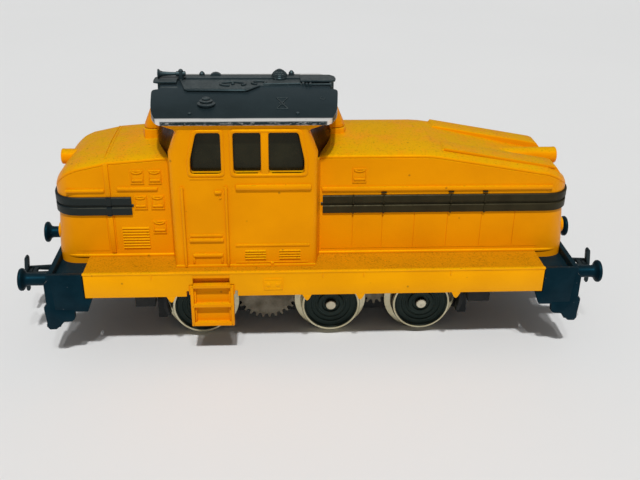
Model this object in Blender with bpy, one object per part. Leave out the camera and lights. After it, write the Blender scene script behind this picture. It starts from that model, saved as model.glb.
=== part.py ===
"""H0 scale model of a three-axle diesel shunting locomotive, built as separate pieces.

Frame: +X along the locomotive towards the long hood, +Y towards the far side, +Z up.
Origin: bottom centre, on the plane the wheel flanges stand on. Working unit: millimetres.
"""
import math

import bmesh
import bpy
from mathutils import Matrix, Vector

MM = 0.001

# ---- overall ---------------------------------------------------------------
BUFFER_FACE_X = 55.0
BUFFER_Y = 10.05
BUFFER_Z = 13.5
DECK_HALF_X = 41.4
DECK_HALF_Y = 17.0
DECK_TOP_Z = 18.1
SKIRT_BOTTOM_Z = 13.3
SKIRT_WALL = 1.2

# ---- hoods -----------------------------------------------------------------
HOOD_HALF_Y = 10.0
HOOD_WALL = 1.2
HOOD_BOTTOM_Z = 16.9
SHOULDER_BEVEL = 1.8
SHOULDER_RISE = 0.7
# x, half width, shoulder z, quarter z, ridge z
LONG_HOOD = [
    (-3.0, 10.0, 37.2, 38.7, 38.9),
    (20.8, 10.0, 37.2, 38.2, 38.3),
    (42.2, 10.0, 33.55, 33.5, 33.4),
    (43.9, 9.75, 32.8, 32.9, 32.85),
    (45.2, 9.0, 31.9, 32.3, 32.3),
    (46.1, 7.9, 31.1, 31.6, 31.6),
    (46.6, 6.4, 30.5, 30.9, 30.9),
    (46.8, 4.6, 30.1, 30.4, 30.4),
]
SHORT_HOOD = [
    (-22.5, 10.0, 37.4, 38.7, 38.9),
    (-36.8, 10.0, 36.2, 37.2, 37.3),
    (-42.2, 10.0, 35.0, 35.9, 36.0),
    (-43.9, 9.75, 34.2, 35.0, 35.1),
    (-45.2, 9.0, 33.1, 33.8, 33.8),
    (-46.1, 7.9, 31.9, 32.5, 32.5),
    (-46.6, 6.4, 30.8, 31.2, 31.2),
    (-46.8, 4.6, 30.1, 30.4, 30.4),
]
RIB_Y = (4.9, 8.2)
LAMP_R = 1.4
LAMP_LENS_R = 1.0
TOP_LAMP_Z = 33.9
LOW_LAMP_Y = 6.2
LOW_LAMP_Z = 22.0

# ---- cab -------------------------------------------------------------------
CAB_X = -12.7
CAB_HALF_Y = 14.5
CAB_WALL = 1.2
CAB_TOP_Z = 44.65
# half length at |y| = 14.5, 10, 5, 0
CAB_LOW = (12.7, 13.9, 15.6, 16.1)
CAB_HIGH = (11.3, 12.5, 14.2, 14.7)
CAB_FLARE = (13.8, 14.6, 15.3, 15.5)
CAB_LEAN_Z = 39.5
CAB_NECK_Z = 43.3
WIN_Z = (36.0, 43.3)
ROOF_RISE = [
    (14.9, 44.7), (15.15, 44.9), (14.95, 45.15), (13.0, 45.55), (9.0, 46.45),
    (5.0, 47.35), (2.5, 47.75), (0.0, 47.9),
]
ROOF_PLAN = [(14.2, 15.5), (15.1, 14.4), (15.7, 12.8), (16.0, 10.0), (16.1, 5.0), (16.1, 0.0)]

# ---- running gear ----------------------------------------------------------
AXLE_X = {"rear": -21.47, "mid": 3.09, "front": 20.59}
AXLE_Z = 6.94
FLANGE_R = 6.94
TREAD_R = 5.65
WHEEL_FACE_Y = 10.2
WHEEL_BACK_Y = 7.0
AXLE_R = 1.0
RUN_GAP = 0.06
WHEEL_SEGMENTS = 24

# ---- gear train ------------------------------------------------------------
MODULE = 0.4
AXLE_TEETH = 31
IDLER_A_TEETH = 31
IDLER_B_TEETH = 13
TRANSFER_TEETH = 26
PINION_TEETH = 12
GEAR_Y = (-6.4, -5.2)
GEAR_PIN_R = 0.8
TRANSFER_ANGLE = math.radians(75.0)
PINION_ANGLE = math.radians(10.0)
ARMATURE_R = 5.3
KEEL_Y = (-4.8, 6.2)

# ---- couplings -------------------------------------------------------------
COUPLER_PIVOT_X = 43.0
BOW_PIVOT_X = 51.5
BOW_PIVOT_Z = 9.75

COLOURS = {
    "orange": ((0.76, 0.29, 0.004), 0.42, 0.0),
    "roof": ((0.022, 0.032, 0.044), 0.38, 0.0),
    "black": ((0.010, 0.018, 0.024), 0.45, 0.0),
    "stripe": ((0.030, 0.026, 0.020), 0.5, 0.0),
    "glass": ((0.012, 0.011, 0.010), 0.15, 0.0),
    "lens": ((0.75, 0.74, 0.70), 0.12, 0.0),
    "steel": ((0.55, 0.52, 0.42), 0.35, 1.0),
    "gear": ((0.26, 0.23, 0.18), 0.5, 1.0),
    "cast": ((0.06, 0.06, 0.06), 0.6, 0.6),
    "rubber": ((0.035, 0.022, 0.014), 0.85, 0.0),
    "copper": ((0.48, 0.20, 0.08), 0.4, 1.0),
    "phenolic": ((0.10, 0.045, 0.02), 0.55, 0.0),
}


# ---- solids ----------------------------------------------------------------
def new_object(bm, name="work"):
    bmesh.ops.recalc_face_normals(bm, faces=bm.faces)
    mesh = bpy.data.meshes.new(name)
    bm.to_mesh(mesh)
    bm.free()
    obj = bpy.data.objects.new(name, mesh)
    bpy.context.scene.collection.objects.link(obj)
    return obj


def loft(rings):
    """Closed solid through rings of equal point count, capped at both ends."""
    bm = bmesh.new()
    loops = [[bm.verts.new(p) for p in ring] for ring in rings]
    count = len(loops[0])
    for a, b in zip(loops, loops[1:]):
        for i in range(count):
            j = (i + 1) % count
            bm.faces.new((a[i], a[j], b[j], b[i]))
    bm.faces.new(loops[0])
    bm.faces.new(list(reversed(loops[-1])))
    return new_object(bm)


def box(x0, x1, y0, y1, z0, z1):
    low = [(x0, y0, z0), (x1, y0, z0), (x1, y1, z0), (x0, y1, z0)]
    return loft([low, [(x, y, z1) for x, y, _ in low]])


def prism_x(outline, x0, x1):
    return loft([[(x0, y, z) for y, z in outline], [(x1, y, z) for y, z in outline]])


def prism_y(outline, y0, y1):
    return loft([[(x, y0, z) for x, z in outline], [(x, y1, z) for x, z in outline]])


def prism_z(outline, z0, z1):
    return loft([[(x, y, z0) for x, y in outline], [(x, y, z1) for x, y in outline]])


def circle(radius, segments, phase=0.0):
    step = 2 * math.pi / segments
    return [(radius * math.cos(phase + i * step), radius * math.sin(phase + i * step))
            for i in range(segments)]


def oriented(axis, along, u, v, centre):
    """Point at distance along an axis letter with in-plane offsets u and v."""
    cx, cy, cz = centre
    if axis == "x":
        return (cx + along, cy + u, cz + v)
    if axis == "y":
        return (cx + u, cy + along, cz + v)
    return (cx + u, cy + v, cz + along)


def turned(axis, centre, profile, segments=20):
    """Solid of revolution from (along, radius) stations, capped at both ends."""
    rings = []
    for along, radius in profile:
        ring = [oriented(axis, along, u, v, centre) for u, v in circle(radius, segments)]
        rings.append(ring)
    return loft(rings)


def ring_solid(axis, centre, profile, segments):
    """Revolved closed profile of (along, radius) points that stays off the axis."""
    bm = bmesh.new()
    loops = []
    for i in range(segments):
        angle = 2 * math.pi * i / segments
        loop = [bm.verts.new(oriented(axis, a, r * math.cos(angle), r * math.sin(angle), centre))
                for a, r in profile]
        loops.append(loop)
    count = len(profile)
    for i in range(segments):
        a = loops[i]
        b = loops[(i + 1) % segments]
        for k in range(count):
            m = (k + 1) % count
            bm.faces.new((a[k], a[m], b[m], b[k]))
    return new_object(bm)


def cylinder(axis, centre, start, end, radius, segments=16):
    return turned(axis, centre, [(start, radius), (end, radius)], segments)


def merged(objects):
    """Put several solids into one mesh, to be used together as one operand."""
    bm = bmesh.new()
    for obj in objects:
        bm.from_mesh(obj.data)
        bpy.data.objects.remove(obj, do_unlink=True)
    return new_object(bm)


def combine(base, tool, operation):
    """Apply one exact Boolean and drop the tool."""
    modifier = base.modifiers.new("combine", "BOOLEAN")
    modifier.operation = operation
    modifier.solver = "EXACT"
    modifier.use_self = operation == "UNION"
    modifier.object = tool
    bpy.context.view_layer.update()
    graph = bpy.context.evaluated_depsgraph_get()
    result = bpy.data.meshes.new_from_object(base.evaluated_get(graph))
    base.modifiers.clear()
    base.data = result
    bpy.data.objects.remove(tool, do_unlink=True)
    return base


def add(base, *tools):
    for tool in tools:
        base = combine(base, tool, "UNION")
    return base


def cut(base, *tools):
    for tool in tools:
        base = combine(base, tool, "DIFFERENCE")
    return base


def mirrored(points, axis):
    """Copy of a list of boxes mirrored across x or y."""
    result = []
    for x0, x1, y0, y1, z0, z1 in points:
        if axis == "x":
            result.append((-x1, -x0, y0, y1, z0, z1))
        else:
            result.append((x0, x1, -y1, -y0, z0, z1))
    return result


def boxes(items):
    return merged([box(*item) for item in items])


MATERIALS = {}


def material(name):
    if name not in MATERIALS:
        colour, roughness, metallic = COLOURS[name]
        mat = bpy.data.materials.new(name)
        mat.use_nodes = True
        shader = mat.node_tree.nodes["Principled BSDF"]
        shader.inputs["Base Color"].default_value = (*colour, 1.0)
        shader.inputs["Roughness"].default_value = roughness
        shader.inputs["Metallic"].default_value = metallic
        MATERIALS[name] = mat
    return MATERIALS[name]


def finish(obj, name, mat, origin=(0.0, 0.0, 0.0)):
    """Clean, scale to metres, move the origin and name one piece."""
    bm = bmesh.new()
    bm.from_mesh(obj.data)
    bmesh.ops.remove_doubles(bm, verts=bm.verts, dist=0.0005)
    bmesh.ops.dissolve_degenerate(bm, edges=bm.edges, dist=0.0005)
    bmesh.ops.dissolve_limit(bm, angle_limit=math.radians(0.05), verts=bm.verts, edges=bm.edges)
    bmesh.ops.triangulate(bm, faces=bm.faces)
    bmesh.ops.recalc_face_normals(bm, faces=bm.faces)
    shift = Matrix.Translation(-Vector(origin))
    bm.transform(Matrix.Scale(MM, 4) @ shift)
    mesh = bpy.data.meshes.new(name)
    bm.to_mesh(mesh)
    bm.free()
    obj.data = mesh
    obj.data.materials.append(material(mat))
    obj.name = name
    obj.location = Vector(origin) * MM
    return obj


# ---- body shell ------------------------------------------------------------
def hood_ring(x, half, shoulder, quarter, ridge, bottom, inset=0.0):
    w = half - inset
    zs = shoulder - inset
    q = 0.44 * half
    bevel_z = zs + SHOULDER_RISE
    side = [(w, bottom), (w, zs), (w - SHOULDER_BEVEL, bevel_z), (q, quarter - inset)]
    right = [(x, y, z) for y, z in side]
    left = [(x, -y, z) for y, z in reversed(side)]
    return right + [(x, 0.0, ridge - inset)] + left


def hood(stations, bottom):
    return loft([hood_ring(*station, bottom) for station in stations])


def hood_cavity(stations, near_x, far_x, bottom):
    """Inside of a hood between two x values, one wall thickness in."""
    def at(x):
        for a, b in zip(stations, stations[1:]):
            if min(a[0], b[0]) <= x <= max(a[0], b[0]):
                t = (x - a[0]) / (b[0] - a[0])
                return [p + (q - p) * t for p, q in zip(a, b)]
        return list(stations[-1])
    knots = [near_x]
    low, high = sorted((near_x, far_x))
    knots += [s[0] for s in stations if low < s[0] < high]
    knots.append(far_x)
    return loft([hood_ring(*at(x), bottom, HOOD_WALL) for x in knots])


def cab_ring(halves, z, inset=0.0):
    y_knots = (CAB_HALF_Y - inset, 10.0, 5.0, 0.0)
    quarter = [(h - inset, y) for h, y in zip(halves, y_knots)]
    front = quarter + [(h, -y) for h, y in reversed(quarter[:-1])]
    back = [(-h, -y) for h, y in front]
    return [(CAB_X + x, y, z) for x, y in front + back]


def window_outline(x0, x1, x0_top, x1_top, knee_z=None, grow=0.0, radius=0.6):
    """Side window as an x-z polygon with clipped corners."""
    z0, z1 = WIN_Z[0] - grow, WIN_Z[1] + grow
    x0, x1, x0_top, x1_top = x0 - grow, x1 + grow, x0_top - grow, x1_top + grow
    knee = knee_z if knee_z else 0.5 * (z0 + z1)
    r = radius
    c = 0.3 * radius
    return [
        (x0 + r, z0), (x1 - r, z0), (x1 - c, z0 + c), (x1, z0 + r), (x1, knee),
        (x1_top, z1 - r), (x1_top - c, z1 - c), (x1_top - r, z1),
        (x0_top + r, z1), (x0_top + c, z1 - c), (x0_top, z1 - r), (x0, knee),
        (x0, z0 + r), (x0 + c, z0 + c),
    ]


SIDE_WINDOWS = [
    (-21.7, -16.45, -20.5, -16.45, 38.4),
    (-14.4, -9.7, -14.4, -9.7, None),
    (-8.4, -2.3, -8.4, -3.35, 38.4),
]


def end_window(side):
    outline = [(12.9, 38.9), (9.6, 38.9), (7.0, 39.9), (2.9, 40.2), (2.9, 43.0), (12.9, 43.0)]
    return prism_x([(side * y, z) for y, z in outline], CAB_X - 22.0, CAB_X + 22.0)


def hatch(x0, x1, z0, z1, y):
    """Small inspection cover: plate, eyebrow and lower lip standing out of a side."""
    return [
        (x0, x1, -y - 0.22, -y + 0.3, z0, z1),
        (x0 + 0.15, x1 - 0.15, -y - 0.42, -y + 0.3, z1 - 0.35, z1 - 0.08),
        (x0 + 0.05, x1 - 0.05, -y - 0.5, -y + 0.3, z0 + 0.05, z0 + 0.45),
    ]


def louvre(x0, x1, z0, z1, slats, y, out=0.3):
    pitch = (z1 - z0) / slats
    return [(x0, x1, -y - out, -y + 0.3, z0 + i * pitch, z0 + (i + 0.5) * pitch)
            for i in range(slats)]


def side_details():
    hood_y = HOOD_HALF_Y
    cab_y = CAB_HALF_Y
    items = []
    for x0, x1, z0, z1 in [(-32.67, -30.45, 32.5, 35.0), (-29.54, -27.35, 32.5, 35.0),
                           (-32.3, -30.25, 27.6, 30.1), (-29.37, -27.2, 27.6, 30.1),
                           (-29.39, -27.1, 22.8, 25.2), (6.5, 8.9, 32.45, 35.0)]:
        items += hatch(x0, x1, z0, z1, hood_y)
    items += louvre(-35.0, -30.2, 19.7, 24.1, 8, hood_y)
    items += [
        (-44.2, -37.5, -hood_y - 0.3, -hood_y + 0.3, 30.85, 31.35),
        (-35.3, -28.1, -hood_y - 0.3, -hood_y + 0.3, 31.15, 31.65),
        (1.0, 43.0, -hood_y - 0.45, -hood_y + 0.3, 30.8, 31.45),
        (-25.5, 0.1, -cab_y - 0.45, -cab_y + 0.3, 18.0, 18.5),
        (-23.55, -23.05, -cab_y - 0.4, -cab_y + 0.3, 18.6, 33.5),
        (-16.05, -15.55, -cab_y - 0.4, -cab_y + 0.3, 18.6, 33.5),
        (-22.4, -16.6, -cab_y - 0.4, -cab_y + 0.3, 23.2, 23.8),
        (-22.2, -16.8, -cab_y - 0.4, -cab_y + 0.3, 20.0, 20.6),
        (-14.2, -1.1, -cab_y - 0.45, -cab_y + 0.3, 33.0, 33.8),
        (-14.5, -1.3, -cab_y - 0.25, -cab_y + 0.3, 22.1, 22.45),
        (-17.7, -16.6, -cab_y - 0.55, -cab_y + 0.3, 32.4, 32.8),
    ]
    items += louvre(-12.8, -9.1, 19.4, 21.4, 4, cab_y)
    items += louvre(-6.7, -3.0, 19.4, 21.4, 4, cab_y)
    items += [
        (-41.2, 41.2, -16.95, -16.55, 18.0, 18.35),
        (-9.5, -6.3, -17.2, -16.7, 14.6, 16.7),
    ]
    return items


def skirt_tabs(side):
    solids = []
    for x in (-26.2, -1.8, 7.9, 25.5):
        outline = [(x - 0.85, 13.6), (x + 0.85, 13.6), (x + 0.3, 12.1), (x - 0.3, 12.1)]
        y0, y1 = sorted((side * 16.9, side * 16.1))
        solids.append(prism_y(outline, y0, y1))
    return solids


def build_body():
    body = box(-DECK_HALF_X, DECK_HALF_X, -DECK_HALF_Y, DECK_HALF_Y, SKIRT_BOTTOM_Z, DECK_TOP_Z)
    body = cut(body, box(-50, 50, -DECK_HALF_Y + SKIRT_WALL, DECK_HALF_Y - SKIRT_WALL, 10, 17.0))
    body = add(body, hood(LONG_HOOD, DECK_TOP_Z - 0.05), hood(SHORT_HOOD, DECK_TOP_Z - 0.05))
    cab = loft([
        cab_ring(CAB_LOW, DECK_TOP_Z - 0.5), cab_ring(CAB_LOW, CAB_LEAN_Z),
        cab_ring(CAB_HIGH, CAB_NECK_Z), cab_ring(CAB_FLARE, CAB_TOP_Z - 0.35),
        cab_ring(CAB_FLARE, CAB_TOP_Z),
    ])
    body = add(body, cab)
    for s in (-1, 1):
        nose = []
        for z, reach in ((36.0, 18.9), (39.2, 18.2), (CAB_TOP_Z - 0.2, 16.6)):
            plan = [(12.0, 1.9), (reach - 2.0, 1.9), (reach - 0.7, 1.5), (reach, 0.6),
                    (reach, -0.6), (reach - 0.7, -1.5), (reach - 2.0, -1.9), (12.0, -1.9)]
            nose.append([(CAB_X + s * x, y, z) for x, y in plan])
        body = add(body, loft(nose))
    for s in (-1, 1):
        y0, y1 = sorted((s * RIB_Y[0], s * RIB_Y[1]))
        profile = [(21.6, 36.6), (22.4, 38.35), (42.6, 34.75), (44.2, 33.7), (44.2, 31.5)]
        body = add(body, prism_y(profile, y0, y1))
    lamps = [cylinder("x", (0, 0, TOP_LAMP_Z), 36.0, 46.4, LAMP_R + 0.05),
             cylinder("x", (0, 0, TOP_LAMP_Z), -46.6, -43.0, LAMP_R)]
    for s in (-1, 1):
        lamps.append(cylinder("x", (0, s * LOW_LAMP_Y, LOW_LAMP_Z), 45.0, 47.3, LAMP_R))
        lamps.append(cylinder("x", (0, s * LOW_LAMP_Y, LOW_LAMP_Z), -47.3, -45.0, LAMP_R))
    body = add(body, merged(lamps))
    frames = []
    for spec in SIDE_WINDOWS:
        outline = window_outline(*spec, grow=0.5, radius=0.9)
        frames.append(prism_y(outline, -CAB_HALF_Y - 0.2, -CAB_HALF_Y + 0.3))
        frames.append(prism_y(outline, CAB_HALF_Y - 0.3, CAB_HALF_Y + 0.2))
    body = add(body, merged(frames[:2] + frames[4:]), merged(frames[2:4]))
    strips = [(-37.35, -36.35, -10.3, -9.7, 18.9, 26.35), (-37.35, -36.35, -10.3, -9.7, 30.0, 35.4)]
    body = add(body, boxes(strips + mirrored(strips, "y")))
    items = side_details()
    first = items[0::2]
    second = items[1::2]
    body = add(body, boxes(first + mirrored(first, "y")), boxes(second + mirrored(second, "y")))
    body = add(body, merged(skirt_tabs(-1) + skirt_tabs(1)))
    body = cut(body, hood_cavity(LONG_HOOD, -2.0, 45.0, 16.0),
               hood_cavity(SHORT_HOOD, -24.0, -45.0, 16.0))
    room = loft([
        cab_ring(CAB_LOW, 16.0, CAB_WALL), cab_ring(CAB_LOW, CAB_LEAN_Z, CAB_WALL),
        cab_ring(CAB_HIGH, CAB_NECK_Z, CAB_WALL), cab_ring(CAB_HIGH, CAB_TOP_Z + 1.0, CAB_WALL),
    ])
    body = cut(body, room)
    for spec in SIDE_WINDOWS:
        body = cut(body, prism_y(window_outline(*spec), -20.0, 20.0))
    body = cut(body, end_window(-1), end_window(1))
    holes = [cylinder("x", (0, 0, TOP_LAMP_Z), 45.4, 48.0, LAMP_LENS_R + 0.05),
             cylinder("x", (0, 0, TOP_LAMP_Z), -48.0, -45.6, LAMP_LENS_R + 0.05)]
    for s in (-1, 1):
        holes.append(cylinder("x", (0, s * LOW_LAMP_Y, LOW_LAMP_Z), 46.3, 49.0, LAMP_LENS_R + 0.05))
        holes.append(cylinder("x", (0, s * LOW_LAMP_Y, LOW_LAMP_Z), -49.0, -46.3, LAMP_LENS_R + 0.05))
    body = cut(body, merged(holes))
    slots = [(-22.9, -14.85, -18.0, -15.6, 12.0, 15.75), (-23.4, -14.3, -18.0, -15.6, 12.0, 14.4)]
    upper = [(-22.2, -15.7, -18.0, -15.6, 15.0, 17.6)]
    body = cut(body, boxes(slots[:1] + mirrored(slots[:1], "y")))
    body = cut(body, boxes(slots[1:] + mirrored(slots[1:], "y")))
    body = cut(body, boxes(upper + mirrored(upper, "y")))
    backs = [(-23.6, -14.1, -15.65, -14.9, 14.0, 17.3)]
    return add(body, boxes(backs + mirrored(backs, "y")))


# ---- roof and cab parts ----------------------------------------------------
def build_roof():
    section = ROOF_RISE + [(-y, z) for y, z in reversed(ROOF_RISE[:-1])]
    roof = prism_x(section, CAB_X - 18.0, CAB_X + 18.0)
    front = [(x, -y) for x, y in ROOF_PLAN] + [(x, y) for x, y in reversed(ROOF_PLAN[:-1])]
    plan = front + [(-x, -y) for x, y in front]
    roof = combine(roof, prism_z([(CAB_X + x, y) for x, y in plan], 40.0, 55.0), "INTERSECT")
    inner = [(y * 0.9, z - 1.25) for y, z in ROOF_RISE[4:]]
    inner = [(12.6, 44.0), (12.6, 44.75)] + inner
    inner += [(-y, z) for y, z in reversed(inner[:-1])]
    roof = cut(roof, prism_x(inner, CAB_X - 11.4, CAB_X + 11.4))
    panel = [(-24.6, 2.6), (-23.6, -4.7), (-12.4, -5.0), (-9.7, -1.9), (-2.2, -1.0), (-2.2, 4.6),
             (-23.8, 4.6)]
    roof = add(roof, prism_z(panel, 47.0, 48.0))
    walks = [(-29.0, -24.6, -2.5, 2.5, 47.2, 48.25), (-2.4, 3.9, -2.4, 2.4, 47.2, 48.5),
             (-7.3, -4.9, -10.6, -6.2, 46.0, 46.85)]
    roof = add(roof, boxes(walks))
    rivets = [cylinder("z", (x, y, 0), 45.4, 46.1, 0.3, 8)
              for x in (-21.5, -2.9) for y in (-12.3, 12.3)]
    roof = add(roof, merged(rivets))
    return cut(roof, cylinder("z", (-24.0, 1.0, 0), 47.2, 51.0, 0.45, 12),
               cylinder("z", (-6.3, 0.0, 0), 47.2, 51.0, 0.65, 12),
               cylinder("z", (-18.9, -9.0, 0), 45.6, 51.0, 0.65, 12))


def build_horn():
    horn = turned("x", (0, 1.0, 49.15), [(-28.5, 0.85), (-27.9, 0.5), (-24.6, 0.32),
                                         (-23.3, 0.32)], 12)
    post = turned("z", (-24.0, 1.0, 0), [(47.35, 0.4), (49.4, 0.4)], 12)
    cap = turned("z", (-24.0, 1.0, 0), [(48.7, 0.6), (49.6, 0.55), (49.9, 0.3)], 12)
    return add(horn, post, cap)


def build_dome():
    stem = cylinder("z", (-6.3, 0.0, 0), 47.35, 48.6, 0.6, 16)
    bell = turned("z", (-6.3, 0.0, 0), [(48.08, 1.5), (49.0, 1.45), (49.8, 1.05), (50.2, 0.4)], 16)
    return add(stem, bell)


def build_vent():
    stem = cylinder("z", (-18.9, -9.0, 0), 45.75, 48.2, 0.6, 16)
    low = turned("z", (-18.9, -9.0, 0), [(47.0, 1.6), (47.3, 1.5), (47.45, 0.9)], 16)
    mid = turned("z", (-18.9, -9.0, 0), [(47.6, 1.15), (47.9, 1.05), (48.05, 0.7)], 16)
    top = turned("z", (-18.9, -9.0, 0), [(48.15, 0.75), (48.4, 0.65), (48.6, 0.25)], 16)
    return add(stem, low, mid, top)


def build_glazing():
    gap = CAB_WALL + 0.06
    thick = gap + 0.8
    outer = loft([cab_ring(CAB_LOW, 34.6, gap), cab_ring(CAB_LOW, CAB_LEAN_Z, gap),
                  cab_ring(CAB_HIGH, CAB_NECK_Z, gap), cab_ring(CAB_HIGH, 44.3, gap)])
    inner = loft([cab_ring(CAB_LOW, 30.0, thick), cab_ring(CAB_LOW, CAB_LEAN_Z, thick),
                  cab_ring(CAB_HIGH, CAB_NECK_Z, thick), cab_ring(CAB_HIGH, 46.0, thick)])
    return cut(outer, inner)


def build_ladder(side):
    y0, y1 = sorted((side * 17.35, side * 15.0 + side * 0.72))
    ladder = box(-22.75, -15.0, y0, y1, 7.2, 15.6)
    p0, p1 = sorted((side * 18.0, side * 16.1))
    for z0, z1 in ((7.75, 11.1), (11.65, 15.1)):
        ladder = cut(ladder, box(-22.15, -15.6, p0, p1, z0, z1))
    return ladder


def build_stripe(stations, end_x):
    """Double raised band round one hood end, following the side of the hood."""
    sign = 1 if end_x > 0 else -1
    start = 1.2 if sign > 0 else -32.9
    points = [(s[0], s[1]) for s in stations if s[0] * sign > 40.0]
    near = [(start, HOOD_HALF_Y)] + points

    def offset(amount):
        result = []
        for i, (x, w) in enumerate(near):
            before = near[max(i - 1, 0)]
            after = near[min(i + 1, len(near) - 1)]
            direction = Vector((after[0] - before[0], after[1] - before[1])).normalized()
            normal = Vector((-direction.y, direction.x)) * sign
            if i == 0:
                normal = Vector((0.0, 1.0))
            result.append((x + normal.x * amount, w + normal.y * amount))
        result.append((result[-1][0] + 0.12 * amount * sign, 0.0))
        return result
    inner = offset(0.05)
    inner[-1] = (inner[-2][0], 0.0)
    outer = offset(0.42)
    outer[-1] = (outer[-2][0], 0.0)
    full_inner = inner + [(x, -y) for x, y in reversed(inner[:-1])]
    full_outer = outer + [(x, -y) for x, y in reversed(outer[:-1])]
    ring = full_outer + list(reversed(full_inner))
    band = prism_z(ring, 26.5, 29.85)
    deep = offset(0.26)
    deep[-1] = (deep[-2][0], 0.0)
    far = offset(1.2)
    far[-1] = (far[-2][0], 0.0)
    full_deep = deep + [(x, -y) for x, y in reversed(deep[:-1])]
    full_far = far + [(x, -y) for x, y in reversed(far[:-1])]
    groove_plan = full_far + list(reversed(full_deep))
    groove_plan = [(x - sign if abs(x - start) < 0.01 else x, y) for x, y in groove_plan]
    return cut(band, prism_z(groove_plan, 27.98, 28.38))


# ---- chassis ---------------------------------------------------------------
def pitch_radius(teeth):
    return 0.5 * MODULE * teeth


def gear_layout():
    """Centres (x, z) of every gear and the tooth phase that lets them mesh."""
    centres = {name: (x, AXLE_Z) for name, x in AXLE_X.items()}
    teeth = {"rear": AXLE_TEETH, "mid": AXLE_TEETH, "front": AXLE_TEETH,
             "idler_a": IDLER_A_TEETH, "idler_b": IDLER_B_TEETH,
             "transfer": TRANSFER_TEETH, "pinion": PINION_TEETH}

    def between(a, b, idler):
        half = 0.5 * (centres[b][0] - centres[a][0])
        reach = pitch_radius(teeth[a]) + pitch_radius(teeth[idler])
        return (centres[a][0] + half, AXLE_Z + math.sqrt(reach * reach - half * half))
    centres["idler_a"] = between("rear", "mid", "idler_a")
    centres["idler_b"] = between("mid", "front", "idler_b")
    reach = pitch_radius(IDLER_A_TEETH) + pitch_radius(TRANSFER_TEETH)
    ax, az = centres["idler_a"]
    centres["transfer"] = (ax + reach * math.cos(TRANSFER_ANGLE),
                           az + reach * math.sin(TRANSFER_ANGLE))
    reach = pitch_radius(TRANSFER_TEETH) + pitch_radius(PINION_TEETH)
    tx, tz = centres["transfer"]
    centres["pinion"] = (tx + reach * math.cos(PINION_ANGLE), tz + reach * math.sin(PINION_ANGLE))
    phases = {"mid": 0.0}
    for known, new in (("mid", "idler_a"), ("idler_a", "rear"), ("mid", "idler_b"),
                       ("idler_b", "front"), ("idler_a", "transfer"), ("transfer", "pinion")):
        dx = centres[new][0] - centres[known][0]
        dz = centres[new][1] - centres[known][1]
        theta = math.atan2(dz, dx)
        lead = (phases[known] - theta) * pitch_radius(teeth[known])
        half_pitch = 0.5 * math.pi * MODULE
        phases[new] = theta + math.pi - (lead + half_pitch) / pitch_radius(teeth[new])
    return centres, teeth, phases


CENTRES, TEETH, PHASES = gear_layout()


def gear_outline(name):
    """Straight-flanked tooth outline as (u, v) points about the gear centre."""
    teeth = TEETH[name]
    pitch = pitch_radius(teeth)
    root = pitch - 1.15 * MODULE
    tip = pitch + 0.85 * MODULE
    step = 2 * math.pi / teeth
    points = []
    for i in range(teeth):
        mid = PHASES[name] + i * step
        for radius, share in ((root, -0.31), (tip, -0.11), (tip, 0.11), (root, 0.31)):
            angle = mid + share * step
            points.append((radius * math.cos(angle), radius * math.sin(angle)))
    return points


def build_gear(name, bore):
    cx, cz = CENTRES[name]
    outline = [(cx + u, cz + v) for u, v in gear_outline(name)]
    gear = prism_y(outline, *GEAR_Y)
    if bore:
        gear = cut(gear, cylinder("y", (cx, 0, cz), -8.0, -4.0, bore, 16))
    return gear


def build_frame():
    frame = box(-45.2, 45.2, -14.7, 14.7, 14.45, 16.6)
    keel = box(-28.0, 27.4, *KEEL_Y, 3.65, 13.1)
    frame = add(frame, keel, box(-27.6, -13.0, -4.4, 5.8, 12.6, 15.0),
                box(10.2, 27.0, -4.4, 5.8, 12.6, 15.0))
    blocks = [(-33.0, -29.4, -15.2, -12.8, 10.3, 14.9), (28.3, 32.3, -15.2, -12.8, 10.3, 14.9)]
    frame = add(frame, boxes(blocks + mirrored(blocks, "y")))
    frame = cut(frame, box(-12.6, 9.8, -8.8, 8.8, 13.4, 18.0))
    frame = cut(frame, box(-16.6, -12.0, GEAR_Y[0] - 0.5, GEAR_Y[1] + 0.25, 13.9, 18.0))
    bores = [cylinder("y", (x, 0, AXLE_Z), -9.0, 9.0, AXLE_R + RUN_GAP, 16)
             for x in AXLE_X.values()]
    frame = cut(frame, merged(bores))
    for name in ("idler_a", "idler_b"):
        cx, cz = CENTRES[name]
        frame = add(frame, cylinder("y", (cx, 0, cz), -6.6, -4.0, GEAR_PIN_R, 16))
    posts = [cylinder("z", (x, 0, 0), 2.0, 7.4, 0.9, 16) for x in (-14.0, 10.8)]
    screws = [cylinder("z", (x, 0, 0), 2.0, 12.0, 0.86, 16) for x in (-25.6, 24.9)]
    frame = cut(frame, merged(posts + screws))
    for s in (-1, 1):
        boss = cylinder("z", (s * COUPLER_PIVOT_X, 0, 0), 9.96, 15.0, 2.2, 16)
        frame = add(frame, boss)
        frame = cut(frame, cylinder("z", (s * COUPLER_PIVOT_X, 0, 0), 9.0, 14.2, 1.06, 16))
    return frame


def build_keeper():
    keeper = box(-30.4, 30.4, -4.6, 6.0, 2.75, 3.6)
    arms = []
    for x0, x1 in ((-30.3, -28.75), (28.75, 30.3)):
        for y0, y1 in ((-6.7, -5.0), (5.0, 6.7)):
            arms.append(box(x0, x1, y0, y1, 3.2, 7.0))
    ties = [(-30.35, -28.7, -6.7, 6.7, 2.75, 3.6), (28.7, 30.35, -6.7, 6.7, 2.75, 3.6)]
    keeper = add(keeper, boxes(ties), merged(arms))
    holes = [cylinder("z", (x, 0, 0), 1.0, 5.0, 0.9, 16) for x in (-14.0, 10.8)]
    holes += [cylinder("z", (x, 0, 0), 1.0, 5.0, 0.86, 16) for x in (-25.6, 24.9)]
    return cut(keeper, merged(holes))


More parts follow.
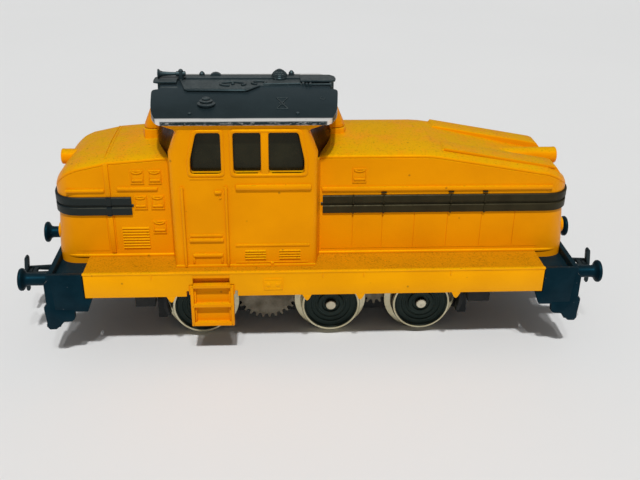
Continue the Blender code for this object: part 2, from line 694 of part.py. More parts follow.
def build_end_piece(s):
    """Black buffer beam with its top plate, side plates and corner steps."""
    profile = [(40.2, 13.1), (41.2, 10.5), (47.7, 10.5), (47.7, 18.0), (41.55, 18.0),
               (41.55, 13.1)]
    end = prism_y([(s * x, z) for x, z in profile], -DECK_HALF_Y, DECK_HALF_Y)
    hollow = sorted((s * 35.0, s * 46.4))
    end = cut(end, box(*hollow, -15.8, 15.8, 9.0, 16.8))
    plates = []
    for side in (-1, 1):
        y0, y1 = sorted((side * 17.0, side * 16.2))
        step = [(43.5, 10.8), (43.6, 8.7), (45.6, 8.6), (47.3, 6.9), (48.5, 6.9), (48.7, 15.8),
                (47.0, 16.4), (47.0, 10.8)]
        plates.append(prism_y([(s * x, z) for x, z in step], y0, y1))
    end = add(end, merged(plates))
    treads = []
    for z in (7.0, 9.6, 12.2, 14.8):
        x0, x1 = sorted((s * 46.6, s * 48.85))
        treads.append((x0, x1, -16.9, -12.9, z, z + 0.5))
    backs_x = sorted((s * 46.5, s * 47.55))
    backs = [(*backs_x, -16.6, -13.0, 7.05, 11.0)]
    end = add(end, boxes(backs + mirrored(backs, "y")))
    end = add(end, boxes(treads + mirrored(treads, "y")))
    sockets = [cylinder("x", (0, y, BUFFER_Z), *sorted((s * 45.0, s * 49.0)), 1.05, 16)
               for y in (-BUFFER_Y, BUFFER_Y)]
    return cut(end, merged(sockets))


def build_buffer(s, side):
    profile = [(46.6, 1.0), (47.75, 1.0), (47.76, 1.55), (53.6, 1.5), (54.2, 2.2),
               (54.75, 2.25), (BUFFER_FACE_X, 1.6)]
    return turned("x", (0, side * BUFFER_Y, BUFFER_Z), [(s * a, r) for a, r in profile], 16)


def build_coupler(s):
    pivot = (s * COUPLER_PIVOT_X, 0, 0)
    arm = prism_z([(s * 44.0, -1.5), (s * 44.0, 1.5), (s * 50.2, 0.85), (s * 56.8, 0.85),
                   (s * 56.8, -0.85), (s * 50.2, -0.85)], 8.3, 9.3)
    arm = add(arm, cylinder("z", pivot, 8.3, 9.9, 2.2, 20))
    hook = [(55.8, 8.7), (56.8, 8.7), (56.85, 12.8), (56.55, 13.2), (56.1, 13.2), (55.85, 12.8)]
    arm = add(arm, prism_y([(s * x, z) for x, z in hook], -0.6, 0.6))
    lug = [(50.8, 8.9), (52.2, 8.9), (52.0, 10.3), (51.0, 10.3)]
    arm = add(arm, prism_y([(s * x, z) for x, z in lug], -0.8, 0.8))
    arm = add(arm, cylinder("y", (s * BOW_PIVOT_X, 0, BOW_PIVOT_Z), -1.85, 1.85, 0.38, 12))
    return cut(arm, cylinder("z", pivot, 8.0, 11.0, 1.06, 16))


def build_bow(s):
    """Lifting loop of a coupling: two arms, a cross bar and two release fingers."""
    parts = []
    for side in (-1, 1):
        y0, y1 = sorted((side * 1.0, side * 1.65))
        outline = [(50.8, 9.2), (53.8, 9.45), (54.5, 6.2), (55.1, 6.1), (55.3, 9.5),
                   (55.3, 10.2), (52.0, 10.4), (50.9, 10.35)]
        parts.append(prism_y([(s * x, z) for x, z in outline], y0, y1))
    bow = add(merged(parts), box(*sorted((s * 54.4, s * 55.2)), -1.3, 1.3, 9.5, 10.15))
    return cut(bow, cylinder("y", (s * BOW_PIVOT_X, 0, BOW_PIVOT_Z), -5.0, 5.0, 0.44, 12))


def build_coupler_pin(s):
    return turned("z", (s * COUPLER_PIVOT_X, 0, 0),
                  [(7.6, 1.6), (8.24, 1.75), (8.25, 1.0), (13.6, 1.0)], 14)


# ---- wheels and drive ------------------------------------------------------
def tyre_profile(side, grooved):
    """Closed (along, radius) section of one metal tyre with its flange."""
    tread = [(7.95, TREAD_R)]
    if grooved:
        tread = [(9.6, TREAD_R - 0.08), (9.6, 5.25), (8.3, 5.25), (8.3, TREAD_R - 0.02),
                 (7.95, TREAD_R)]
    points = [(WHEEL_BACK_Y, 4.9), (WHEEL_FACE_Y - 0.05, 4.9), (WHEEL_FACE_Y - 0.1, 5.5)]
    points += tread + [(7.45, FLANGE_R), (WHEEL_BACK_Y, FLANGE_R - 0.2)]
    return [(side * a, r) for a, r in points]


def build_tyre(name, side):
    centre = (AXLE_X[name], 0, AXLE_Z)
    grooved = name == "front"
    return ring_solid("y", centre, tyre_profile(side, grooved), WHEEL_SEGMENTS)


def build_wheel_centre(name, side):
    centre = (AXLE_X[name], 0, AXLE_Z)
    profile = [(7.1, 1.02), (7.1, 4.88), (9.8, 4.88), (9.4, 4.1), (9.4, 2.6), (9.9, 2.4),
               (9.9, 1.02)]
    return ring_solid("y", centre, [(side * a, r) for a, r in profile], WHEEL_SEGMENTS)


def build_axle(name):
    axle = cylinder("y", (AXLE_X[name], 0, AXLE_Z), -10.2, 10.2, AXLE_R, 14)
    return add(axle, build_gear(name, 0.0))


def build_traction_tyre(side):
    centre = (AXLE_X["front"], 0, AXLE_Z)
    profile = [(8.34, 5.28), (9.56, 5.28), (9.56, TREAD_R + 0.02), (8.34, TREAD_R + 0.05)]
    return ring_solid("y", centre, [(side * a, r) for a, r in profile], WHEEL_SEGMENTS)


def build_motor_block():
    cx, cz = CENTRES["pinion"]
    block = box(-9.2, cx + 7.4, -4.6, 6.0, 13.5, cz + 7.0)
    block = cut(block, cylinder("y", (cx, 0, cz), -3.7, 8.0, ARMATURE_R + 0.4, 28))
    block = cut(block, cylinder("y", (cx, 0, cz), -6.0, 0.0, 0.76, 12))
    tx, tz = CENTRES["transfer"]
    return add(block, cylinder("y", (tx, 0, tz), -6.6, -4.0, GEAR_PIN_R, 16))


def build_armature():
    cx, cz = CENTRES["pinion"]
    centre = (cx, 0, cz)
    shaft = cylinder("y", centre, -6.7, 7.1, 0.7, 12)
    core = cylinder("y", centre, -3.2, 3.4, ARMATURE_R, 24)
    slots = []
    for i in range(3):
        angle = 2 * math.pi * i / 3 + 0.3
        slot = box(cx + 2.2, cx + 7.0, -5.0, 5.0, cz - 0.8, cz + 0.8)
        turn = Matrix.Translation((cx, 0, cz)) @ Matrix.Rotation(angle, 4, "Y")
        slot.data.transform(turn @ Matrix.Translation((-cx, 0, -cz)))
        slots.append(slot)
    for slot in slots:
        core = cut(core, slot)
    commutator = cylinder("y", centre, 3.3, 4.9, 2.2, 18)
    pinion = build_gear("pinion", 0.0)
    return add(shaft, core, commutator, pinion)


def build_brush_plate():
    cx, cz = CENTRES["pinion"]
    plate = box(cx - 6.5, cx + 6.5, 6.06, 7.2, cz - 6.0, cz + 6.2)
    tubes = [cylinder("x", (0, 5.2, cz), *sorted((cx + s * 2.6, cx + s * 5.2)), 0.75, 12)
             for s in (-1, 1)]
    feet = [(cx - 4.9, cx - 3.0, 5.3, 6.4, cz - 0.5, cz + 0.5),
            (cx + 3.0, cx + 4.9, 5.3, 6.4, cz - 0.5, cz + 0.5)]
    plate = add(plate, boxes(feet), merged(tubes))
    return cut(plate, cylinder("y", (cx, 0, cz), 5.0, 9.0, 0.76, 12))


def build_pickup():
    shoe = prism_y([(-19.0, 1.75), (-17.6, 1.25), (14.4, 1.25), (15.8, 1.75), (15.7, 1.95),
                    (14.2, 1.7), (-17.4, 1.7), (-18.9, 1.95)], -2.2, 2.2)
    posts = [cylinder("z", (x, 0, 0), 1.5, 5.6, 0.82, 16) for x in (-14.0, 10.8)]
    return add(shoe, merged(posts))


def build_screw(x):
    return turned("z", (x, 0, 0), [(1.75, 1.4), (2.7, 1.6), (2.71, 0.8), (11.6, 0.8)], 14)


def build_ballast():
    profile = [(12.4, 17.3), (39.0, 17.3), (39.0, 30.6), (24.0, 33.2), (12.4, 33.2)]
    return prism_y(profile, -7.6, 7.6)


def build_relay():
    relay = box(-41.0, -27.5, -6.5, 6.5, 17.3, 19.2)
    return add(relay, cylinder("x", (0, 0, 23.4), -39.0, -29.5, 4.6, 18),
               box(-40.6, -38.8, -5.2, 5.2, 18.6, 29.2), box(-29.7, -27.9, -5.2, 5.2, 18.6, 29.2))


def lens(end, y, z):
    tip = {"top_long": (45.5, 46.45), "top_short": (-46.65, -45.7),
           "low_long": (46.4, 47.35), "low_short": (-47.35, -46.4)}[end]
    return cylinder("x", (0, y, z), *tip, LAMP_LENS_R, 14)


def main():
    for obj in list(bpy.data.objects):
        bpy.data.objects.remove(obj, do_unlink=True)
    finish(build_body(), "body_shell", "orange")
    finish(build_roof(), "cab_roof", "roof")
    finish(build_horn(), "roof_horn", "roof")
    finish(build_dome(), "roof_exhaust_dome", "black")
    finish(build_vent(), "roof_vent", "roof")
    finish(build_glazing(), "cab_glazing", "glass")
    for side, label in ((-1, "near"), (1, "far")):
        finish(build_ladder(side), "ladder_" + label, "orange")
    finish(build_stripe(LONG_HOOD, 48.0), "stripe_long_hood", "stripe")
    finish(build_stripe(SHORT_HOOD, -48.0), "stripe_short_hood", "stripe")
    for end in ("long", "short"):
        finish(lens("top_" + end, 0, TOP_LAMP_Z), "lens_top_" + end, "lens")
        for side, label in ((-1, "near"), (1, "far")):
            piece = lens("low_" + end, side * LOW_LAMP_Y, LOW_LAMP_Z)
            finish(piece, "lens_low_" + end + "_" + label, "lens")
    finish(build_frame(), "chassis_frame", "cast")
    finish(build_keeper(), "keeper_plate", "black")
    for s, end in ((1, "long"), (-1, "short")):
        finish(build_end_piece(s), "buffer_beam_" + end, "black")
        for side, label in ((-1, "near"), (1, "far")):
            finish(build_buffer(s, side), "buffer_" + end + "_" + label, "black")
        pivot = (s * COUPLER_PIVOT_X, 0.0, 9.0)
        finish(build_coupler(s), "coupler_" + end, "black", pivot)
        bow_pivot = (s * BOW_PIVOT_X, 0.0, BOW_PIVOT_Z)
        finish(build_bow(s), "coupler_bow_" + end, "black", bow_pivot)
        finish(build_coupler_pin(s), "coupler_pin_" + end, "steel")
    for name, x in AXLE_X.items():
        centre = (x, 0.0, AXLE_Z)
        finish(build_axle(name), "axle_" + name, "gear", centre)
        for side, label in ((-1, "near"), (1, "far")):
            finish(build_tyre(name, side), "tyre_" + name + "_" + label, "steel", centre)
            piece = build_wheel_centre(name, side)
            finish(piece, "wheel_centre_" + name + "_" + label, "black", centre)
    for side, label in ((-1, "near"), (1, "far")):
        centre = (AXLE_X["front"], 0.0, AXLE_Z)
        finish(build_traction_tyre(side), "traction_tyre_" + label, "rubber", centre)
    for name in ("idler_a", "idler_b", "transfer"):
        cx, cz = CENTRES[name]
        finish(build_gear(name, GEAR_PIN_R + RUN_GAP), "gear_" + name, "gear", (cx, 0.0, cz))
    finish(build_motor_block(), "motor_block", "cast")
    cx, cz = CENTRES["pinion"]
    finish(build_armature(), "armature", "copper", (cx, 0.0, cz))
    finish(build_brush_plate(), "brush_plate", "phenolic")
    finish(build_pickup(), "pickup_shoe", "steel", (0.0, 0.0, 1.25))
    finish(build_screw(-25.6), "keeper_screw_rear", "steel")
    finish(build_screw(24.9), "keeper_screw_front", "steel")
    finish(build_ballast(), "ballast_weight", "cast")
    finish(build_relay(), "reversing_unit", "phenolic")


main()
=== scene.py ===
"""Looks of the model shunting locomotive: fine shapes, materials, floor, light and camera.

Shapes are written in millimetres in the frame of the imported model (+X towards the long hood,
+Y away from the photographed side, +Z up) and scaled to metres when a piece is published.
"""

import math

import bmesh
import bpy
from mathutils import Matrix, Vector


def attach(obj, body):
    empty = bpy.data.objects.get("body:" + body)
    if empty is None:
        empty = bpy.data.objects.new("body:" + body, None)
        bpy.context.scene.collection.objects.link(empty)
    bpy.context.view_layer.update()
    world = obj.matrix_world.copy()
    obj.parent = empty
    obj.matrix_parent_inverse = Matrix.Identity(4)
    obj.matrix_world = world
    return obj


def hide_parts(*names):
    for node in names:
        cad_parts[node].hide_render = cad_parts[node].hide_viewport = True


MM = 0.001
BODY = "locomotive"

# ---- main sizes ------------------------------------------------------------
HOOD_HALF_Y = 10.0
DECK_HALF_X = 41.4
DECK_HALF_Y = 17.0
DECK_TOP_Z = 18.1
SKIRT_BOTTOM_Z = 13.3
CAB_X = -12.7
CAB_HALF_Y = 14.5
CAB_TOP_Z = 44.65
ROOF_X = -12.4
DOME_X, DOME_Y = -6.3, 1.9
BUFFER_Y = 10.05
BUFFER_Z = 13.5
COUPLER_PIVOT_X = 43.0
BOW_PIVOT_X = 51.5
BOW_PIVOT_Z = 9.75
AXLE_X = {"rear": -21.47, "mid": 3.09, "front": 20.59}
AXLE_Z = 6.94
STRIPE_BANDS = ((26.45, 27.98), (28.4, 29.9))
STRIPE_OUT = 0.42

# hood stations: x, half width, shoulder z, quarter z, ridge z
LONG_HOOD = [(-3.0, 10.0, 37.2, 38.7, 38.9), (9.0, 10.0, 37.2, 38.5, 38.7), (19.0, 10.0, 37.2, 38.3,
    38.4), (20.8, 10.0, 37.1, 38.25, 38.35), (22.6, 10.0, 36.85, 37.8, 37.88), (42.2, 10.0, 33.55,
    33.5, 33.4), (43.9, 9.75, 32.8, 32.9, 32.85), (45.2, 9.0, 31.9, 32.3, 32.3), (46.1, 7.9, 31.1,
    31.6, 31.6), (46.6, 6.4, 30.5, 30.9, 30.9), (46.8, 4.6, 30.1, 30.4, 30.4),]
SHORT_HOOD = [(-22.5, 10.0, 37.4, 38.7, 38.9), (-36.8, 10.0, 36.2, 37.2, 37.3), (-42.2, 10.0, 35.0,
    35.9, 36.0), (-43.9, 9.75, 34.2, 35.0, 35.1), (-45.2, 9.0, 33.1, 33.8, 33.8), (-46.1, 7.9, 31.9,
    32.5, 32.5), (-46.6, 6.4, 30.8, 31.2, 31.2), (-46.8, 4.6, 30.1, 30.4, 30.4),]
NOSE_START = 42.0
# cab plan: half length at |y| = 14.5, 10, 5, 0 for each height
CAB_LEVELS = [(17.9, (12.7, 13.4, 15.4, 16.1)), (39.5, (12.7, 13.4, 15.4, 16.1)),
    (43.3, (11.3, 12.1, 14.2, 14.7)), (43.75, (11.7, 12.6, 14.4, 14.8)),
    (44.1, (12.8, 13.8, 15.0, 15.2)), (44.4, (13.6, 14.5, 15.3, 15.5)),
    (CAB_TOP_Z, (13.75, 14.6, 15.35, 15.5)),]
WINDOW_Z = (36.0, 43.3)
# side windows: x low, x high, x low at the top, x high at the top
SIDE_WINDOWS = [(-21.7, -16.45, -20.5, -16.45), (-14.4, -9.7, -14.4, -9.7), (-8.4, -2.3, -8.4,
    -3.35),]
WINDOW_KNEE_Z = 38.4


# ---- mesh helpers ----------------------------------------------------------
def new_object(bm, name="piece"):
    bmesh.ops.recalc_face_normals(bm, faces=bm.faces)
    mesh = bpy.data.meshes.new(name)
    bm.to_mesh(mesh)
    bm.free()
    obj = bpy.data.objects.new(name, mesh)
    bpy.context.scene.collection.objects.link(obj)
    return obj


def loft(rings, closed=False):
    """Solid through rings of equal point count: capped, or closed back to its first ring."""
    bm = bmesh.new()
    loops = [[bm.verts.new(p) for p in ring] for ring in rings]
    count = len(loops[0])
    for a, b in zip(loops, loops[1:] + (loops[:1] if closed else [])):
        for i in range(count):
            j = (i + 1) % count
            bm.faces.new((a[i], a[j], b[j], b[i]))
    if not closed:
        bm.faces.new(loops[0])
        bm.faces.new(list(reversed(loops[-1])))
    return new_object(bm)


def prism(axis, outline, low, high):
    """Extrudes an outline of the two other axes, in X, Y, Z order, between low and high."""
    place = {"x": lambda p, t: (t, p[0], p[1]), "y": lambda p, t: (p[0], t, p[1]), "z": lambda p,
        t: (p[0], p[1], t)}[axis]
    return loft([[place(p, low) for p in outline], [place(p, high) for p in outline]])


def box(x0, x1, y0, y1, z0, z1):
    return prism("z", [(x0, y0), (x1, y0), (x1, y1), (x0, y1)], z0, z1)


def axis_frame(axis):
    return {"x": (Vector((1, 0, 0)), Vector((0, 1, 0)), Vector((0, 0, 1))), "y": (Vector((0, 1, 0)),
        Vector((1, 0, 0)), Vector((0, 0, 1))), "z": (Vector((0, 0, 1)), Vector((1, 0, 0)),
        Vector((0, 1, 0)))}[axis]


def turned(axis, centre, profile, segments=32):
    """Solid of revolution; the profile is (distance along the axis, radius), open at the axis."""
    along, u, v = axis_frame(axis)
    centre = Vector(centre)
    rings = []
    for distance, radius in profile:
        ring = []
        for i in range(segments):
            a = 2 * math.pi * i / segments
            ring.append(centre + along * distance + u * radius * math.cos(a) + v * radius *
                math.sin(a))
        rings.append(ring)
    return loft(rings)


def turned_ring(axis, centre, profile, segments=48):
    """Ring of revolution; the profile is a closed loop of (distance along the axis, radius)."""
    along, u, v = axis_frame(axis)
    centre = Vector(centre)
    rings = []
    for i in range(segments):
        a = 2 * math.pi * i / segments
        out = u * math.cos(a) + v * math.sin(a)
        rings.append([centre + along * d + out * r for d, r in profile])
    return loft(rings, True)


def rod(points, radius, segments=10):
    """Round wire along a line of points, with flat ends."""
    points = [Vector(p) for p in points]
    rings = []
    for i, p in enumerate(points):
        before = points[max(i - 1, 0)]
        after = points[min(i + 1, len(points) - 1)]
        direction = (after - before).normalized()
        side = direction.cross(Vector((0.31, 0.47, 0.83))).normalized()
        up = direction.cross(side)
        ring = []
        for k in range(segments):
            a = 2 * math.pi * k / segments
            ring.append(p + (side * math.cos(a) + up * math.sin(a)) * radius)
        rings.append(ring)
    return loft(rings)


def rounded(obj, radius, segments=2, angle=35.0):
    """Rounds the sharp edges of one simple solid."""
    bm = bmesh.new()
    bm.from_mesh(obj.data)
    limit = math.radians(angle)
    edges = [e for e in bm.edges if len(e.link_faces) == 2 and e.calc_face_angle() > limit]
    bmesh.ops.bevel(bm, geom=edges, offset=radius, segments=segments, profile=0.5, affect="EDGES",
        clamp_overlap=True)
    bm.to_mesh(obj.data)
    bm.free()
    return obj


def bar(x0, x1, y0, y1, z0, z1, radius=0.12):
    return rounded(box(x0, x1, y0, y1, z0, z1), radius)


def joined(objects):
    bm = bmesh.new()
    for obj in objects:
        bm.from_mesh(obj.data)
        bpy.data.objects.remove(obj)
    return new_object(bm)


def boolean(a, b, operation):
    modifier = a.modifiers.new("op", "BOOLEAN")
    modifier.operation = operation
    modifier.object = b
    modifier.solver = "EXACT"
    depsgraph = bpy.context.evaluated_depsgraph_get()
    mesh = bpy.data.meshes.new_from_object(a.evaluated_get(depsgraph))
    a.modifiers.clear()
    a.data = mesh
    bpy.data.objects.remove(b)
    return a


def cut(a, b):
    return boolean(a, b, "DIFFERENCE")


def side_y(side, near, far):
    return sorted((side * near, side * far))


def curve_through(points, steps):
    """Catmull-Rom curve through points of any dimension."""
    result = []
    for i in range(len(points) - 1):
        p0 = points[max(i - 1, 0)]
        p1, p2 = points[i], points[i + 1]
        p3 = points[min(i + 2, len(points) - 1)]
        for k in range(steps):
            t = k / steps
            result.append(tuple(0.5 * (2 * b + (c - a) * t + (2 * a - 5 * b + 4 * c - d) * t * t +
                (3 * b - a - 3 * c + d) * t ** 3) for a, b, c, d in zip(p0, p1, p2, p3)))
    result.append(tuple(points[-1]))
    return result


def publish(obj, name, look, body=BODY, replaces=(), smooth=32.0):
    """Names a finished piece, scales it to metres, shades it and hangs it on its body."""
    obj.data.transform(Matrix.Scale(MM, 4))
    obj.name = name
    obj.data.name = name
    obj.data.materials.clear()
    obj.data.materials.append(LOOKS[look])
    for polygon in obj.data.polygons:
        polygon.use_smooth = True
        polygon.material_index = 0
    obj.data.set_sharp_from_angle(angle=math.radians(smooth))
    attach(obj, body)
    if replaces:
        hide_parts(*replaces)
    return obj


def stand_in(obj, node, look, body=BODY, smooth=32.0):
    """Publishes the fine version of one CAD node."""
    return publish(obj, node + "_detail", look, body, (node,), smooth)


# ---- materials -------------------------------------------------------------
class Shader:
    """Short way to write node materials: every value may be a number, a colour or a socket."""

    def __init__(self, name):
        self.material = bpy.data.materials.new(name)
        self.material.use_nodes = True
        self.tree = self.material.node_tree
        self.surface = self.tree.nodes["Principled BSDF"]
        source = self.tree.nodes.new("ShaderNodeTexCoord").outputs["Object"]
        scale = self.tree.nodes.new("ShaderNodeVectorMath")
        scale.operation = "SCALE"
        self.tree.links.new(source, scale.inputs[0])
        scale.inputs["Scale"].default_value = 1.0 / MM
        self.position = scale.outputs[0]

    def put(self, socket, value):
        if isinstance(value, bpy.types.NodeSocket):
            self.tree.links.new(value, socket)
        elif isinstance(value, (tuple, list)) and len(value) == 3 and socket.type == "RGBA":
            socket.default_value = (*value, 1.0)
        else:
            socket.default_value = value

    def set(self, **values):
        for key, value in values.items():
            self.put(self.surface.inputs[key.replace("_", " ")], value)

    def node(self, kind, output, inputs, **settings):
        """Adds a node, fills its inputs and gives back one of its outputs."""
        made = self.tree.nodes.new("ShaderNode" + kind)
        for key, value in settings.items():
            setattr(made, key, value)
        for key, value in inputs:
            self.put(made.inputs[key], value)
        return made.outputs[output]

    def stretched(self, x, y, z):
        return self.node("VectorMath", 0, [(0, self.position), (1, (x, y, z))],
            operation="MULTIPLY")

    def noise(self, scale, detail=4.0, roughness=0.55, position=None):
        """Cloudy noise whose scale is in features per millimetre."""
        return self.node("TexNoise", "Fac", [("Vector", position or self.position),
            ("Scale", scale), ("Detail", detail), ("Roughness", roughness)])

    def spots(self, scale):
        return self.node("TexVoronoi", "Distance", [("Vector", self.position), ("Scale", scale)])

    def band(self, value, low, high, out_low=0.0, out_high=1.0):
        """Smooth step of a value between low and high."""
        return self.node("MapRange", "Result", [("Value", value), ("From Min", low),
            ("From Max", high), ("To Min", out_low), ("To Max", out_high)],
            interpolation_type="SMOOTHSTEP")

    def math(self, operation, a, b):
        return self.node("Math", 0, [(0, a), (1, b)], operation=operation)

    def times(self, a, b):
        return self.math("MULTIPLY", a, b)

    def mix(self, factor, a, b):
        return self.node("Mix", 2, [("Factor", factor), (6, a), (7, b)], data_type="RGBA")

    def mix_value(self, factor, a, b):
        return self.node("Mix", 0, [("Factor", factor), (2, a), (3, b)], data_type="FLOAT")

    def axis(self, name, source=None):
        return self.node("SeparateXYZ", name, [(0, source or self.position)])

    def facing_up(self):
        return self.axis("Z", self.node("NewGeometry", "Normal", ()))

    def bump(self, height, strength, distance_mm):
        self.put(self.surface.inputs["Normal"], self.node("Bump", "Normal", [("Height", height),
            ("Strength", strength), ("Distance", distance_mm * MM)]))
        return self


def moulded_orange(name, shade=1.0, yellow=1.0, dusty=False, edges=False):
    """Orange-yellow satin plastic, with olive dust and fine specks where it faces up."""
    s = Shader(name)
    cloud = s.noise(0.09, 3.0)
    fine = s.noise(1.6, 5.0, 0.7)
    green = shade * yellow
    base = s.mix(s.band(cloud, 0.35, 0.65), (0.850 * shade, 0.305 * green, 0.001), (0.790 * shade,
        0.275 * green, 0.001))
    base = s.mix(s.band(fine, 0.58, 0.8, 0.0, 0.25), base, (0.66 * shade, 0.20 * shade, 0.001))
    up = s.band(s.facing_up(), 0.45, 0.95)
    if dusty:
        base = s.mix(s.times(up, 0.9), base, (0.56, 0.235, 0.002))
        patches = s.band(s.noise(0.22, 4.0, 0.6), 0.32, 0.66, 0.35, 1.0)
        speck = s.band(s.noise(3.5, 6.0, 0.75), 0.47, 0.66)
        speck = s.times(s.times(speck, up), patches)
        film = s.times(speck, 0.85)
        base = s.mix(film, base, (0.17, 0.085, 0.003))
    else:
        patchy = s.band(s.noise(0.22, 5.0, 0.65), 0.33, 0.62, 0.35, 1.0)
        film = s.times(s.times(up, patchy), 0.75)
        base = s.mix(film, base, (0.68, 0.385, 0.001))
        speck = s.band(s.noise(2.6, 6.0, 0.75), 0.52, 0.69, 0.0, 0.75)
        base = s.mix(s.times(speck, up), base, (0.27, 0.15, 0.003))
    # Painted highlight: rounded edges, whose normals lie between side and top, are painted a
    # lighter yellow-orange.
    if edges:
        normal = s.facing_up()
        painted_highlight = s.times(s.band(normal, 0.25, 0.5), s.band(normal, 0.8, 0.97, 1.0, 0.0))
        base = s.mix(painted_highlight, base, (1.0, 0.50, 0.03))
    fleck = s.band(s.spots(0.24), 0.035, 0.075, 0.5, 0.0)
    base = s.mix(fleck, base, (0.16, 0.06, 0.01))
    rough = s.band(fine, 0.3, 0.7, 0.34, 0.46)
    rough = s.math("ADD", rough, s.times(film, 0.35))
    s.set(Base_Color=base, Roughness=rough, IOR=1.5, Specular_IOR_Level=0.42, Specular_Tint=(1.0,
        0.66, 0.0))
    return s.bump(s.noise(3.0, 6.0, 0.7), 0.10, 0.10).material


def dark_plastic(name, base, light, rough=(0.36, 0.52), dust=(0.05, 0.06, 0.062), dusty=0.25,
        gloss=0.24, tint=(0.15, 0.65, 0.90)):
    """Nearly black moulded plastic with grain, a little dust on top and light flecks of wear."""
    s = Shader(name)
    cloud = s.band(s.noise(0.35, 4.0), 0.3, 0.7)
    fine = s.noise(2.4, 6.0, 0.7)
    colour = s.mix(cloud, base, light)
    up = s.band(s.facing_up(), 0.3, 0.95)
    film = s.times(up, s.band(fine, 0.35, 0.7, 0.2, 1.0))
    colour = s.mix(s.times(film, dusty), colour, dust)
    fleck = s.band(s.spots(0.55), 0.03, 0.08, 0.6, 0.0)
    colour = s.mix(s.times(fleck, dusty), colour, (0.35, 0.37, 0.37))
    s.set(Base_Color=colour, Roughness=s.band(fine, 0.3, 0.7, *rough), IOR=1.5,
        Specular_IOR_Level=gloss, Specular_Tint=tint)
    return s.bump(fine, 0.12, 0.1).material


def roof_paint(name):
    """Blue-black satin roof with a bright painted highlight along the rounded eave."""
    s = Shader(name)
    cloud = s.band(s.noise(0.16, 4.0), 0.3, 0.7)
    height = s.axis("Z")
    colour = s.mix(cloud, (0.006, 0.012, 0.014), (0.011, 0.019, 0.022))
    colour = s.mix(s.band(height, 45.6, 48.0, 0.0, 0.55), colour, (0.028, 0.041, 0.048))
    fine = s.noise(1.5, 6.0, 0.7)
    colour = s.mix(s.band(fine, 0.55, 0.8, 0.0, 0.4), colour, (0.055, 0.062, 0.064))
    ridge = s.times(s.band(height, 48.0, 48.2), 0.5)
    colour = s.mix(ridge, colour, (0.16, 0.17, 0.165))
    # Painted highlight: a near-white band with a little metal is painted along the rounded eave,
    # streaky, mottled and speckled towards its lower rim, standing in for the reflection of the
    # lamps.
    across = s.math("ABSOLUTE", s.axis("Y"), 0.0)
    streak = s.noise(1.0, 5.0, 0.7, s.stretched(0.14, 0.5, 1.6))
    grain = s.noise(2.8, 5.0, 0.7, s.stretched(0.5, 1.0, 1.0))
    edge = s.math("ADD", across, s.times(s.math("SUBTRACT", streak, 0.5), 0.30))
    strip = s.times(s.band(edge, 13.35, 13.95), s.band(edge, 14.6, 15.05, 1.0, 0.0))
    mottled = s.times(s.band(edge, 14.7, 15.0), s.band(grain, 0.50, 0.72, 0.0, 0.35))
    rim = s.times(s.band(height, 44.80, 44.90, 1.0, 0.0), s.band(grain, 0.4, 0.6))
    painted_highlight = s.times(strip, s.band(grain, 0.26, 0.42, 0.4, 1.0))
    painted_highlight = s.math("MAXIMUM", painted_highlight, s.math("MAXIMUM", mottled, s.times(rim, 0.6)))
    painted_highlight = s.times(painted_highlight, s.band(height, 45.9, 46.1, 1.0, 0.0))
    colour = s.mix(painted_highlight, colour, (0.84, 0.83, 0.80))
    s.set(Base_Color=colour, Metallic=s.times(painted_highlight, 0.35), Roughness=s.mix_value(painted_highlight,
        s.band(fine, 0.3, 0.7, 0.28, 0.42), 0.32), IOR=1.5, Specular_IOR_Level=s.mix_value(painted_highlight,
        0.34, 0.5), Specular_Tint=s.mix(painted_highlight, (0.55, 0.92, 1.0), (1.0, 1.0, 1.0)))
    return s.bump(fine, 0.10, 0.1).material


def stripe_print(name):
    """Dark brown-grey printed band with wear specks."""
    s = Shader(name)
    cloud = s.band(s.noise(0.3, 4.0), 0.35, 0.65)
    colour = s.mix(cloud, (0.014, 0.011, 0.005), (0.022, 0.018, 0.008))
    cold = s.band(s.axis("X"), -30.0, -20.0)
    colour = s.mix(cold, (0.008, 0.015, 0.019), colour)
    fine = s.noise(2.0, 6.0, 0.7)
    colour = s.mix(s.band(fine, 0.62, 0.8, 0.0, 0.5), colour, (0.09, 0.07, 0.04))
    s.set(Base_Color=colour, Roughness=s.band(fine, 0.3, 0.7, 0.38, 0.55), IOR=1.45,
        Specular_IOR_Level=0.28, Specular_Tint=(1.0, 0.9, 0.55))
    return s.bump(fine, 0.12, 0.08).material


def turned_metal(name, dark, light, rough=(0.28, 0.42), ring_scale=3.2, grime=(0.10, 0.08, 0.05)):
    """Lathe-turned metal: fine rings, warm tarnish and a little oily dirt."""
    s = Shader(name)
    cloud = s.band(s.noise(0.35, 5.0), 0.3, 0.7)
    fine = s.noise(ring_scale, 4.0, 0.6)
    colour = s.mix(cloud, dark, light)
    dirt = s.band(s.noise(0.9, 6.0, 0.7), 0.56, 0.74, 0.0, 0.55)
    colour = s.mix(dirt, colour, grime)
    s.set(Base_Color=colour, Metallic=1.0, Roughness=s.band(fine, 0.3, 0.7, *rough))
    return s.bump(fine, 0.08, 0.06).material


def glazing_material(name, dark=(0.006, 0.006, 0.003), light=(0.014, 0.013, 0.006),
        smear_colour=(0.020, 0.019, 0.010), gloss=0.26, tint=(1.0, 0.95, 0.7)):
    """Dark glossy pane with faint smears."""
    s = Shader(name)
    cloud = s.band(s.noise(0.18, 4.0), 0.35, 0.65)
    colour = s.mix(cloud, dark, light)
    smear = s.noise(0.7, 5.0, 0.65)
    colour = s.mix(s.band(smear, 0.55, 0.75, 0.0, 0.4), colour, smear_colour)
    s.set(Base_Color=colour, Roughness=s.band(smear, 0.3, 0.7, 0.16, 0.3), IOR=1.49,
        Specular_IOR_Level=gloss, Specular_Tint=tint)
    return s.bump(s.noise(0.25, 3.0), 0.15, 0.2).material


